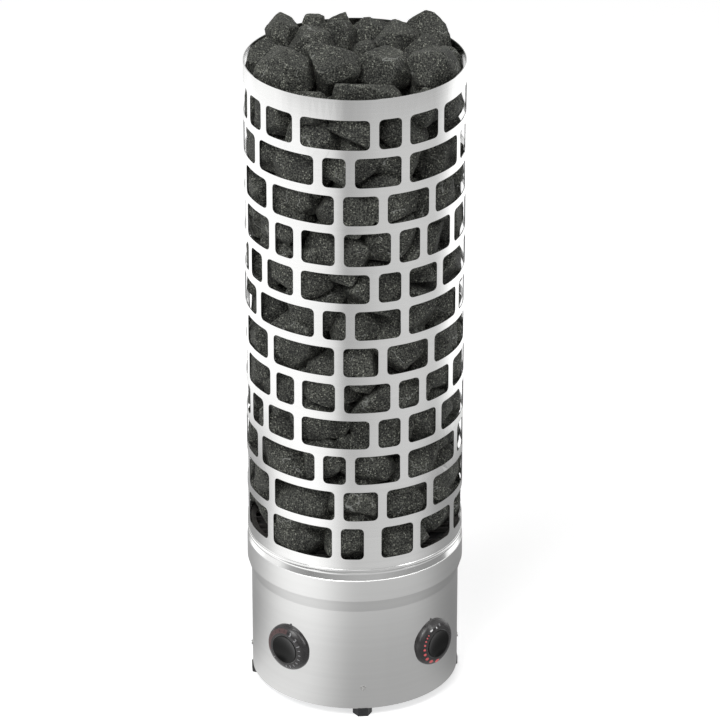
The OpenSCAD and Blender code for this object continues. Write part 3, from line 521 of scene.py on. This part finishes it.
finishes = {
    "satin_steel": brushedSteel("satinSteel", (0.60, 0.60, 0.595), 0.34, 0.000018, 0.55),
    "polished_steel": brushedSteel("polishedSteel", (0.68, 0.68, 0.675), 0.11, 0.000002, 0.1),
    "zinc_sheet": plainMetal("zincSheet", (0.50, 0.51, 0.52), 0.38),
    "grate_steel": plainMetal("heatedSteel", (0.12, 0.115, 0.11), 0.55, 0.6),
    "element_tube": plainMetal("elementTube", (0.16, 0.15, 0.145), 0.45, 0.6),
    "bright_steel": plainMetal("brightSteel", (0.56, 0.56, 0.55), 0.28),
    "black_foot_plastic": moulded("footPlastic", (0.012, 0.012, 0.013), 0.55),
    "white_ceramic": moulded("steatite", (0.74, 0.72, 0.66), 0.5, rubbed=0.9),
    "copper": plainMetal("copperMetal", (0.62, 0.33, 0.19), 0.3, 0.65),
    "pale_switch_plastic": moulded("switchPlastic", (0.66, 0.64, 0.58), 0.45, rubbed=0.92),
    "dial_plastic": moulded("dialPlastic", (0.020, 0.0185, 0.019), 0.27, specular=0.42),
    "grip_plastic": moulded("gripPlastic", (0.002, 0.0022, 0.002), 0.22, specular=0.16),
    "red_button_plastic": moulded("redButton", (0.45, 0.03, 0.02), 0.4),
    "black_gland_plastic": moulded("glandPlastic", (0.02, 0.02, 0.021), 0.5),
    "brass": plainMetal("brassMetal", (0.63, 0.46, 0.19), 0.3, 0.7),
    "earth_wire_sleeve": moulded("earthSleeve", (0.25, 0.40, 0.04), 0.55),
    "wire_sleeve": moulded("wireSleeve", (0.02, 0.02, 0.02), 0.6),
    "sauna_stone": saunaStone(stoneFinish),
}
cageSteel = brushedSteel("cageSteel", (0.60, 0.60, 0.595), 0.15, 0.000012, 0.35, lines=1900.0)
for name, node in cadNodes.items():
    node.data.materials.clear()
    node.data.materials.append(cageSteel if name == "cage" else finishes[slotOf[name]])
print("finishes ready:", len(finishes))


# Makes a piece with the given material, on the body of a CAD node. In the photo the drum doesn't mirror the
# dials, so theirs are made with mirrored off.
def dress(name, mesh, material, node, mirrored=True):
    mesh.materials.clear()
    mesh.materials.append(material)
    piece = bpy.data.objects.new(name, mesh)
    bpy.context.scene.collection.objects.link(piece)
    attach(piece, bodyOf[node])
    piece.visible_glossy = mirrored
    return piece


def keptMesh(name, shape):
    mesh = bpy.data.meshes.new(name)
    shape.to_mesh(mesh)
    shape.free()
    return mesh


# Geometry Nodes: a tree is run on a mesh and its result kept as a plain mesh
def runTree(tree, mesh, values):
    holder = bpy.data.objects.new("holder", mesh)
    bpy.context.scene.collection.objects.link(holder)
    modifier = holder.modifiers.new("shape", "NODES")
    modifier.node_group = tree
    for item in tree.interface.items_tree:
        if item.item_type == "SOCKET" and item.in_out == "INPUT" and item.name in values:
            modifier[item.identifier] = values[item.name]
    graph = bpy.context.evaluated_depsgraph_get()
    made = bpy.data.meshes.new_from_object(holder.evaluated_get(graph))
    holder.modifiers.clear()
    bpy.data.objects.remove(holder)
    return made


def newShapeTree(name, inputs):
    tree = bpy.data.node_groups.new(name, "GeometryNodeTree")
    tree.interface.new_socket("Geometry", in_out="INPUT", socket_type="NodeSocketGeometry")
    for label, value in inputs.items():
        kind = "NodeSocketInt" if isinstance(value, int) else "NodeSocketFloat"
        tree.interface.new_socket(label, in_out="INPUT", socket_type=kind).default_value = value
    tree.interface.new_socket("Material", in_out="INPUT", socket_type="NodeSocketMaterial")
    tree.interface.new_socket("Geometry", in_out="OUTPUT", socket_type="NodeSocketGeometry")
    return tree, addNode(tree, "NodeGroupInput").outputs, addNode(tree, "NodeGroupOutput")


# One step of a tree: a node with its inputs, of which the first output goes on
def shapeStep(tree, kind, inputs, **values):
    return giveValues(tree, addNode(tree, kind, **values), inputs).outputs[0]


def endShapeTree(tree, given, result, shape):
    shape = shapeStep(tree, "GeometryNodeRealizeInstances", {"Geometry": shape})
    shape = shapeStep(tree, "GeometryNodeSetMaterial", {"Geometry": shape, "Material": given["Material"]})
    tree.links.new(shape, result.inputs["Geometry"])


# Stones: broken rock. Each CAD stone is cut anew by flat faces round its hull, then roughened.
stonePile = {
    "faces": 13,
    "faceScatter": 0.22,
    "faceDepth": {  # share of the hull's reach in that direction
        "stones_lower": (0.96, 1.15), "stones_upper": (0.92, 1.08), "stones_top": (0.87, 1.02),
    },
    "chips": 12,
    "chipScatter": 0.35,
    "chipDepth": (0.90, 0.99),  # the same, measured on the faces' own corners
    "edgePower": 80,  # higher is sharper
    "seed": 12,
    "wall": 0.1526,  # stones end inside the cage
    "summit": 1.0020,  # and no higher, before they are roughened
    "surface": {  # inputs of the tree that roughens a stone
        "Coarse Size": 30.0, "Coarse Depth": 0.0052, "Fine Size": 150.0, "Fine Depth": 0.0022, "Seed": 12.0,
    },
    "noise": (4.0, 0.55),  # detail and roughness of both grades
    "skin": 0.075,  # stones beyond this radius can be seen, and are cut fine
    "levels": (5, 3),  # of the sphere that a fine or a coarse stone starts from
    "mostFaces": 190000,  # of a piece
}


def sphereOf(level):
    ball = bmesh.new()
    bmesh.ops.create_icosphere(ball, subdivisions=level, radius=1)
    points = np.array([vert.co[:] for vert in ball.verts])
    faces = np.array([[vert.index for vert in face.verts] for face in ball.faces])
    ball.free()
    return points / np.linalg.norm(points, axis=1, keepdims=True), faces


# The corners of each loose body of a CAD node, merged on a fine grid
def looseBodies(node, grid=0.01 * mm):
    mesh = cadNodes[node].data
    corners = np.zeros(len(mesh.vertices) * 3)
    mesh.vertices.foreach_get("co", corners)
    corners = corners.reshape(-1, 3)
    faces = np.array([face.vertices[:] for face in mesh.polygons])
    rounded = np.round(corners / grid)
    _, first, merged = np.unique(rounded, axis=0, return_index=True, return_inverse=True)
    points = corners[first]
    faces = merged.ravel()[faces]
    label = np.arange(len(points))
    while True:
        lowest = label[faces].min(axis=1)
        before = label.copy()
        for side in range(3):
            np.minimum.at(label, faces[:, side], lowest)
        if (label == before).all():
            break
    for body in np.unique(label[faces[:, 0]]):
        yield points[np.unique(faces[label[faces[:, 0]] == body])]


# Directions spread evenly over a sphere, each moved a little
def spreadDirections(count, chance, scatter):
    turn = chance.normal(size=(3, 3))
    turn, _ = np.linalg.qr(turn)
    height = 1 - (2 * np.arange(count) + 1) / count
    angle = np.arange(count) * math.pi * (3 - math.sqrt(5))
    ring = np.sqrt(1 - height ** 2)
    evenly = np.column_stack([ring * np.cos(angle), ring * np.sin(angle), height])
    moved = evenly @ turn + scatter * chance.normal(size=(count, 3))
    return moved / np.linalg.norm(moved, axis=1, keepdims=True)


def stoneForm(points, directions, chance, faceDepth, pile):
    centre = (points.min(axis=0) + points.max(axis=0)) / 2
    own = points - centre
    normals = spreadDirections(pile["faces"], chance, pile["faceScatter"])
    away = (own @ normals.T).max(axis=0) * chance.uniform(*faceDepth, len(normals))
    rough = 1 / (np.maximum(directions @ normals.T, 0) / away).max(axis=1)
    corners = directions * rough[:, None]
    chips = spreadDirections(pile["chips"], chance, pile["chipScatter"])
    chipped = (corners @ chips.T).max(axis=0) * chance.uniform(*pile["chipDepth"], len(chips))
    normals = np.vstack([normals, chips])
    away = np.concatenate([away, chipped])
    facing = np.maximum(directions @ normals.T, 0) / away
    top = facing.max(axis=1)
    power = pile["edgePower"]
    reach = 1 / (top * ((facing / top[:, None]) ** power).sum(axis=1) ** (1 / power))
    form = centre + directions * reach[:, None]
    radius = np.hypot(form[:, 0], form[:, 1])
    held = np.minimum(radius, pile["wall"]) / radius
    form[:, 0] *= held
    form[:, 1] *= held
    form[:, 2] -= max(0, form[:, 2].max() - pile["summit"])
    return form


def roughStoneTree(pile):
    tree, given, result = newShapeTree("roughStone", pile["surface"])
    offsets = []
    for grade in ("Coarse", "Fine"):
        grain = addNode(tree, "ShaderNodeTexNoise", noise_dimensions="4D")
        giveValues(tree, grain, {
            "Scale": given[grade + " Size"], "W": given["Seed"],
            "Detail": pile["noise"][0], "Roughness": pile["noise"][1],
        })
        level = mathNode(tree, "SUBTRACT", grain.outputs["Fac"], 0.5)
        offsets.append(mathNode(tree, "MULTIPLY", level, given[grade + " Depth"]))
    along = addNode(tree, "ShaderNodeVectorMath", operation="SCALE")
    normal = addNode(tree, "GeometryNodeInputNormal").outputs[0]
    offset = giveValues(tree, along, {0: normal, "Scale": mathNode(tree, "ADD", *offsets)}).outputs[0]
    moved = shapeStep(tree, "GeometryNodeSetPosition", {"Geometry": given["Geometry"], "Offset": offset})
    smooth = shapeStep(tree, "GeometryNodeSetShadeSmooth", {"Geometry": moved})
    endShapeTree(tree, given, result, smooth)
    return tree


# Makes a node's stones as one piece, or as more where one would have too many faces
def makeStones(node, name, tree, pile):
    fine, coarse = (sphereOf(level) for level in pile["levels"])
    chance = np.random.default_rng(pile["seed"])
    batches = [([], [])]
    for points in looseBodies(node):
        middle = points.mean(axis=0)
        outside = math.hypot(middle[0], middle[1]) > pile["skin"] or node == "stones_top"
        directions, faces = fine if outside else coarse
        form = stoneForm(points, directions, chance, pile["faceDepth"][node], pile)
        if sum(len(shell) for shell in batches[-1][1]) + len(faces) > pile["mostFaces"]:
            batches.append(([], []))
        forms, shells = batches[-1]
        shells.append(faces + sum(len(part) for part in forms))
        forms.append(form)
    for number, (forms, shells) in enumerate(batches, start=1):
        label = name if len(batches) == 1 else f"{name}{number}"
        mesh = bpy.data.meshes.new(label)
        mesh.from_pydata(np.vstack(forms).tolist(), [], np.vstack(shells).tolist())
        rough = runTree(tree, mesh, {**pile["surface"], "Material": finishes["sauna_stone"]})
        rough.name = label
        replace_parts(dress(label, rough, finishes["sauna_stone"], node), node)


roughStone = roughStoneTree(stonePile)
makeStones("stones_lower", "stonesBelow", roughStone, stonePile)
makeStones("stones_upper", "stonesAbove", roughStone, stonePile)
makeStones("stones_top", "stonesHeap", roughStone, stonePile)
print("stones ready")


# Rolled and turned steel: a merged copy of the CAD node. Faces that lie round the stove's axis get
# the normals of the true curve, so that reflections run on across them.
steelSkin = {
    "nearby": 0.004 * mm,  # corners closer than this are merged
    "sharp": 30,  # degrees between faces
    "roundFrom": 0.9 * cadRadius,  # faces nearer the axis keep their own normals
    "flatterThan": 0.2,  # level part of a normal, below which a face counts as lying flat
    "outward": 0.995,  # cosine between a round face's normal and its radius
}


def smoothCopy(node, skin=steelSkin):
    mesh = cadNodes[node].data.copy()
    work = bmesh.new()
    work.from_mesh(mesh)
    bmesh.ops.remove_doubles(work, verts=work.verts, dist=skin["nearby"])
    work.to_mesh(mesh)
    work.free()
    mesh.name = node + "Skin"
    mesh.shade_smooth()
    mesh.set_sharp_from_angle(angle=math.radians(skin["sharp"]))
    normals = [Vector(corner.vector) for corner in mesh.corner_normals]
    for face in mesh.polygons:
        flat = face.normal
        middle = face.center.to_2d()
        level = flat.to_2d()
        if level.length < skin["flatterThan"] or middle.length < skin["roundFrom"]:
            continue
        side = math.copysign(1, level.dot(middle))
        if side * level.normalized().dot(middle.normalized()) < skin["outward"]:
            continue
        for loop in face.loop_indices:
            outward = mesh.vertices[mesh.loops[loop].vertex_index].co.to_2d().normalized()
            normals[loop] = Vector((*(outward * side * level.length), flat.z)).normalized()
    mesh.normals_split_custom_set(normals)
    return mesh


for node, name in (
    ("cage", "cageSheet"), ("base_shell", "drumShell"), ("timer_bezel", "timerBezel"),
    ("thermostat_bezel", "thermostatBezel"), ("cable_gland", "cableGland"), ("shell_screws", "shellScrews"),
):
    material = cageSteel if node == "cage" else finishes[slotOf[node]]
    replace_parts(dress(name, smoothCopy(node), material, node, mirrored="bezel" not in node), node)


# A closed solid turned round an axis, from its outline of radius and height
def turned(name, outline, steps, place=Matrix(), sharp=35, onAxis=0.0001 * mm):
    shape = bmesh.new()
    turns = [2 * math.pi * step / steps for step in range(steps)]
    rings = []
    for radius, height in outline:
        if radius < onAxis:
            rings.append([shape.verts.new((0, 0, height))])
            continue
        rings.append([shape.verts.new((radius * math.cos(a), radius * math.sin(a), height)) for a in turns])
    closed = len(rings[0]) > 1
    for first, second in zip(rings, rings[1:] + rings[:1] if closed else rings[1:]):
        for step in range(steps):
            after = (step + 1) % steps
            corners = [
                first[step % len(first)], first[after % len(first)],
                second[after % len(second)], second[step % len(second)],
            ]
            shape.faces.new(list(dict.fromkeys(corners)))
    bmesh.ops.recalc_face_normals(shape, faces=shape.faces)
    shape.transform(place)
    mesh = keptMesh(name, shape)
    mesh.shade_smooth()
    mesh.set_sharp_from_angle(angle=math.radians(sharp))
    return mesh


def arcOf(centre, radius, start, end, steps):
    angles = [math.radians(start + (end - start) * step / steps) for step in range(steps + 1)]
    return [(centre[0] + radius * math.cos(a), centre[1] + radius * math.sin(a)) for a in angles]


# Polished collar: a band that leans in, then two beads under the cage
collar = {
    "band": 8.4 * mm,
    "lean": 2.35 * mm,
    "setBack": 0.9 * mm,  # the band's foot, from the drum's face
    "footBevel": (0.35 * mm, 0.25 * mm),
    "crestOut": 0.1 * mm,  # the beads, from the cage's face
    "lowerBead": 3.2 * mm,
    "lowerHalf": 30,  # degrees of its circle, up and down, that show
    "lowerGap": 0.3 * mm,
    "upperBead": 2.05 * mm,
    "upperHalf": 55,
    "upperGap": 0.2 * mm,
    "neckIn": 1.2 * mm,  # the hidden edge behind the beads, from the band's top
    "wall": 1.5 * mm,
    "play": 0.5 * mm,  # round the element plate
    "steps": 384,
    "arcSteps": (12, 16),
}


def collarMesh(sizes):
    low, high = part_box("collar_ring")
    cageLow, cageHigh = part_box("cage")
    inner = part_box("element_plate")[1].x + sizes["play"]
    foot = cadRadius - sizes["setBack"]
    bevelOut, bevelUp = sizes["footBevel"]
    neck = cageHigh.x - sizes["lean"]
    bandTop = low.z + sizes["band"]
    crest = cageHigh.x + sizes["crestOut"]
    lower, lowerHalf = sizes["lowerBead"], sizes["lowerHalf"]
    upper, upperHalf = sizes["upperBead"], sizes["upperHalf"]
    lowerHeight = bandTop + sizes["lowerGap"] + lower * math.sin(math.radians(lowerHalf))
    upperHeight = cageLow.z - sizes["upperGap"] - upper * math.sin(math.radians(upperHalf))
    outline = [(inner, low.z), (foot, low.z), (foot + bevelOut, low.z + bevelUp), (neck, bandTop)]
    outline += arcOf((crest - lower, lowerHeight), lower, -lowerHalf, lowerHalf, sizes["arcSteps"][0])
    outline += arcOf((crest - upper, upperHeight), upper, -upperHalf, upperHalf, sizes["arcSteps"][1])
    outline += [(neck - sizes["neckIn"], cageLow.z), (inner + sizes["wall"], cageLow.z)]
    outline += [(inner + sizes["wall"], high.z), (inner, high.z)]
    return turned("collarRing", outline, sizes["steps"])


collarPiece = dress("collarRing", collarMesh(collar), finishes["polished_steel"], "collar_ring")
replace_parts(collarPiece, "collar_ring")
print("steel ready")


# Dials: turned plastic, crowned round a hollow grip. Their marks are printed on the crown.
dialForm = {
    "backRound": 0.9 * mm,
    "sideHeight": 3.4 * mm,
    "crownEdge": 0.8 * mm,
    "seatPlay": 0.2 * mm,
    "seatEdge": 0.3 * mm,  # drop at the crown's inner edge
    "lipRound": 1.0 * mm,
    "lipWidth": 1.3 * mm,
    "hollow": 4.4 * mm,
    "steps": 144,
    "crownSteps": 18,
    "hollowSteps": 12,
    "roundSteps": 6,
}
printing = {
    "rise": 0.12 * mm,  # of the ink over the plastic
    "sink": 0.15 * mm,
    "bandRise": 0.06 * mm,
    "bandSteps": (56, 5),  # round and across
    "longestEdge": 1.0 * mm,
    "cuts": 4,  # rounds of halving, at most
    "nearby": 0.01 * mm,  # corners closer than this are merged
    "figureSize": 6.6 * mm,
    "smallFigure": 4.8 * mm,
    "bolder": 0.24 * mm,
    "curveSteps": 3,
}
# Rows of marks are given as inputs of the tree below. Clock angles are in degrees, from the top to
# the right. A figure has its text, angle and radius, and a band its two angles and two radii.
timerMarks = {
    "figures": [("3", 20, 27.4 * mm), ("2", 43, 26.9 * mm), ("1", 64, 26.4 * mm)],
    "ticks": {
        "Count": 7, "First": 78.0, "Step": 16.0, "Step Growth": 1.0001, "Radius": 26.6 * mm,
        "Width": 1.0 * mm, "Length": 3.2 * mm, "Width Growth": 1.04, "Length Growth": 1.03,
        "Corners": 4, "Turn": 45.0, "Reach": 0.707,
    },
    "zero": {
        "Count": 1, "First": 226.0, "Radius": 25.2 * mm, "Width": 1.7 * mm, "Length": 1.7 * mm,
        "Corners": 16, "Turn": 0.0, "Reach": 0.5,
    },
    "band": (252, 367, 25.4 * mm, 31.6 * mm),
    "bandFigures": [
        ("8", 303, 28.3 * mm), ("6", 322, 28.6 * mm), ("4", 340, 28.7 * mm), ("2", 357, 28.9 * mm),
    ],
}
thermostatMarks = {
    "dots": {
        "Count": 9, "First": 316.0, "Step": -9.0, "Step Growth": 1.17, "Radius": 28.0 * mm,
        "Width": 1.7 * mm, "Length": 2.0 * mm, "Width Growth": 1.21, "Length Growth": 1.155,
        "Corners": 20, "Turn": 0.0, "Reach": 0.5,
    },
    "dash": {
        "Count": 1, "First": 333.0, "Radius": 28.8 * mm, "Width": 5.0 * mm, "Length": 1.9 * mm,
        "Corners": 16, "Turn": 0.0, "Reach": 0.54,
    },
    "dot": {
        "Count": 1, "First": 353.0, "Radius": 27.4 * mm, "Width": 2.3 * mm, "Length": 3.0 * mm,
        "Corners": 16, "Turn": 0.0, "Reach": 0.5,
    },
    "zero": [("0", 7, 29.0 * mm)],
}
inks = {
    "pale": moulded("paleInk", (0.34, 0.34, 0.35), 0.5, rubbed=0.8),
    "white": moulded("whiteInk", (0.86, 0.86, 0.86), 0.45, rubbed=0.9),
    "red": moulded("redInk", (0.82, 0.125, 0.135), 0.45, rubbed=0.9),
    "band": moulded("bandInk", (0.066, 0.030, 0.030), 0.5, rubbed=0.7),
    "dark": moulded("darkInk", (0.020, 0.006, 0.006), 0.5),
}


# Turns a dial's own space, X to the viewer's right, Y up and Z out along its shaft, into the stove's
def dialSpace(joint):
    out = -Vector(joint["axis"])
    up = Vector((0, 0, 1))
    place = Matrix((up.cross(out), up, out)).transposed().to_4x4()
    place.translation = (0, 0, joint["pos_m"][2])
    return place


def spanAlong(node, place):
    back = place.inverted()
    points = [back @ vert.co for vert in cadNodes[node].data.vertices]
    heights = [point.z for point in points]
    return max(point.xy.length for point in points), min(heights), max(heights)


# The crown's height and outward normal at a radius
def crownAt(radius, form):
    level = 1 - (form["radius"] - radius) / form["crown"]
    level = min(max(level, 0), 1)
    rise = math.sqrt(1 - level ** 2)
    tall = form["front"] - form["side"]
    return form["side"] + tall * rise, Vector((tall * level, form["crown"] * rise)).normalized()


def measureDial(name, sizes, place):
    radius, back, front = spanAlong(name + "_dial", place)
    gripRadius, seat, lip = spanAlong(name + "_grip", place)
    seatRadius = gripRadius + sizes["seatPlay"]
    return {
        "radius": radius, "back": back, "front": front, "seat": seat, "lip": lip,
        "gripRadius": gripRadius, "seatRadius": seatRadius,
        "side": back + sizes["sideHeight"], "crown": radius - seatRadius - sizes["crownEdge"],
    }


def dialMesh(name, sizes, form, place):
    radius, back, side, seat = form["radius"], form["back"], form["side"], form["seatRadius"]
    bend = sizes["backRound"]
    tall = form["front"] - side
    outline = [(0, back)] + arcOf((radius - bend, back + bend), bend, -90, 0, sizes["roundSteps"])
    for step in range(sizes["crownSteps"] + 1):
        turn = math.radians(90 * step / sizes["crownSteps"])
        outline.append((radius - form["crown"] * (1 - math.cos(turn)), side + tall * math.sin(turn)))
    outline += [(seat, form["front"] - sizes["seatEdge"]), (seat, form["seat"]), (0, form["seat"])]
    return turned(name, outline, sizes["steps"], place)


def gripMesh(name, sizes, form, place):
    radius, lip = form["gripRadius"], form["lip"]
    bend = sizes["lipRound"]
    outline = [(0, form["seat"]), (radius, form["seat"])]
    outline += arcOf((radius - bend, lip - bend), bend, 0, 90, sizes["roundSteps"])
    for step in range(sizes["hollowSteps"] + 1):
        part = math.cos(math.radians(90 * step / sizes["hollowSteps"]))
        outline.append(((radius - sizes["lipWidth"]) * part, lip - sizes["hollow"] * (1 - part ** 2)))
    return turned(name, outline, sizes["steps"], place)


# Flat marks in a row round a centre, each a thin closed plate
def markRowTree():
    tree, given, result = newShapeTree("markRow", {
        "Count": 9, "First": 0.0, "Step": 10.0, "Step Growth": 1.1, "Radius": 0.02,
        "Width": 0.002, "Length": 0.002, "Width Growth": 1.1, "Length Growth": 1.1,
        "Corners": 16, "Turn": 0.0, "Reach": 0.5, "Thickness": 0.0002,
    })
    number = addNode(tree, "GeometryNodeInputIndex").outputs[0]
    grown = mathNode(tree, "SUBTRACT", mathNode(tree, "POWER", given["Step Growth"], number), 1)
    steps = mathNode(tree, "DIVIDE", grown, mathNode(tree, "SUBTRACT", given["Step Growth"], 1))
    clock = mathNode(tree, "MULTIPLY_ADD", steps, given["Step"], given["First"])
    angle = mathNode(tree, "RADIANS", clock)
    across, along = (
        mathNode(tree, "MULTIPLY", mathNode(tree, wave, angle), given["Radius"])
        for wave in ("SINE", "COSINE")
    )
    wide, tall = (
        mathNode(tree, "MULTIPLY", mathNode(tree, "POWER", given[side + " Growth"], number), given[side])
        for side in ("Width", "Length")
    )
    points = shapeStep(tree, "GeometryNodePoints", {
        "Count": given["Count"], "Position": joinVector(tree, across, along),
    })
    mark = shapeStep(tree, "GeometryNodeMeshCircle", {
        "Vertices": given["Corners"], "Radius": given["Reach"],
    }, fill_type="TRIANGLE_FAN")
    plate = shapeStep(tree, "GeometryNodeTransform", {
        "Geometry": mark, "Rotation": joinVector(tree, z=mathNode(tree, "RADIANS", given["Turn"])),
    })
    raised = shapeStep(tree, "GeometryNodeExtrudeMesh", {
        "Mesh": plate, "Offset Scale": given["Thickness"], "Individual": False,
    }, mode="FACES")
    under = shapeStep(tree, "GeometryNodeFlipFaces", {"Mesh": plate})
    both = addNode(tree, "GeometryNodeJoinGeometry")
    tree.links.new(raised, both.inputs[0])
    tree.links.new(under, both.inputs[0])
    closed = shapeStep(tree, "GeometryNodeMergeByDistance", {
        "Geometry": both.outputs[0], "Distance": 0.02 * mm,
    })
    row = shapeStep(tree, "GeometryNodeInstanceOnPoints", {
        "Points": points, "Instance": closed,
        "Rotation": joinVector(tree, z=mathNode(tree, "MULTIPLY", angle, -1)),
        "Scale": joinVector(tree, wide, tall, 1.0),
    })
    endShapeTree(tree, given, result, row)
    return tree


markRow = markRowTree()


def rowOfMarks(row, material):
    blank = bpy.data.meshes.new("marks")
    thickness = printing["rise"] + printing["sink"]
    return runTree(markRow, blank, {**row, "Thickness": thickness, "Material": material})


# A figure, its foot towards the dial's centre
def figureMesh(figure, clock, radius, size):
    curve = bpy.data.curves.new("figure", "FONT")
    curve.body = figure
    curve.size = size
    curve.align_x = "CENTER"
    curve.align_y = "CENTER"
    curve.resolution_u = printing["curveSteps"]
    curve.offset = printing["bolder"]
    curve.extrude = (printing["rise"] + printing["sink"]) / 2
    holder = bpy.data.objects.new("figure", curve)
    bpy.context.scene.collection.objects.link(holder)
    graph = bpy.context.evaluated_depsgraph_get()
    mesh = bpy.data.meshes.new_from_object(holder.evaluated_get(graph))
    bpy.data.objects.remove(holder)
    turn = Matrix.Rotation(-math.radians(clock), 4, "Z")
    mesh.transform(turn @ Matrix.Translation((0, radius, curve.extrude)))
    return mesh


# A flat band between two clock angles
def bandMesh(start, end, inner, outer):
    steps, rows = printing["bandSteps"]
    shape = bmesh.new()
    levels = []
    for height in (0, printing["sink"] + printing["bandRise"]):
        grid = []
        for step in range(steps + 1):
            angle = math.radians(start + (end - start) * step / steps)
            radii = [inner + (outer - inner) * row / rows for row in range(rows + 1)]
            spots = [(radius * math.sin(angle), radius * math.cos(angle), height) for radius in radii]
            grid.append([shape.verts.new(spot) for spot in spots])
        levels.append(grid)
        for first, second in zip(grid, grid[1:]):
            for row in range(rows):
                shape.faces.new((first[row], first[row + 1], second[row + 1], second[row]))
    borders = [[[line[row] for line in grid] for grid in levels] for row in (0, rows)]
    borders += [[grid[end] for grid in levels] for end in (0, steps)]
    for low, high in borders:
        for spot in range(len(low) - 1):
            shape.faces.new((low[spot], low[spot + 1], high[spot + 1], high[spot]))
    bmesh.ops.recalc_face_normals(shape, faces=shape.faces)
    return keptMesh("band", shape)


# Lays flat marks on the crown. Long edges are cut first, so that they follow its curve.
def printOnCrown(name, parts, form, place):
    shape = bmesh.new()
    for part in parts:
        shape.from_mesh(part)
    bmesh.ops.remove_doubles(shape, verts=shape.verts, dist=printing["nearby"])
    bmesh.ops.triangulate(shape, faces=shape.faces)
    for _ in range(printing["cuts"]):
        tooLong = [edge for edge in shape.edges if edge.calc_length() > printing["longestEdge"]]
        if not tooLong:
            break
        bmesh.ops.subdivide_edges(shape, edges=tooLong, cuts=1)
        bmesh.ops.triangulate(shape, faces=shape.faces)
    for vert in shape.verts:
        radius = vert.co.xy.length
        height, normal = crownAt(radius, form)
        lift = vert.co.z - printing["sink"]
        outward = vert.co.xy / radius * (radius + normal.x * lift)
        vert.co = (*outward, height + normal.y * lift)
    shape.transform(place)
    return keptMesh(name, shape)


def figures(marks, size):
    return [figureMesh(figure, clock, radius, size) for figure, clock, radius in marks]


# Makes a dial and its grip, and gives back the function that prints on them
def makeDial(name):
    place = dialSpace(joints[name + "_turn"])
    form = measureDial(name, dialForm, place)
    for part, makeMesh in (("dial", dialMesh), ("grip", gripMesh)):
        node = name + "_" + part
        label = name + part.capitalize()
        mesh = makeMesh(label, dialForm, form, place)
        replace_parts(dress(label, mesh, finishes[part + "_plastic"], node, mirrored=False), node)

    def printMarks(label, parts, ink):
        mesh = printOnCrown(name + label, parts, form, place)
        dress(name + label, mesh, inks[ink], name + "_dial", mirrored=False)

    return printMarks


printTimer = makeDial("timer")
timerRows = [rowOfMarks(timerMarks[row], inks["pale"]) for row in ("ticks", "zero")]
printTimer("Figures", figures(timerMarks["figures"], printing["figureSize"]) + timerRows, "pale")
printTimer("Band", [bandMesh(*timerMarks["band"])], "band")
printTimer("BandFigures", figures(timerMarks["bandFigures"], printing["smallFigure"]), "dark")
printThermostat = makeDial("thermostat")
printThermostat("Dots", [rowOfMarks(thermostatMarks["dots"], inks["red"])], "red")
pointerRows = [rowOfMarks(thermostatMarks[row], inks["white"]) for row in ("dash", "dot")]
printThermostat("Pointers", pointerRows, "white")
printThermostat("Figures", figures(thermostatMarks["zero"], printing["smallFigure"]), "pale")
print("dials ready")

bpy.context.view_layer.update()
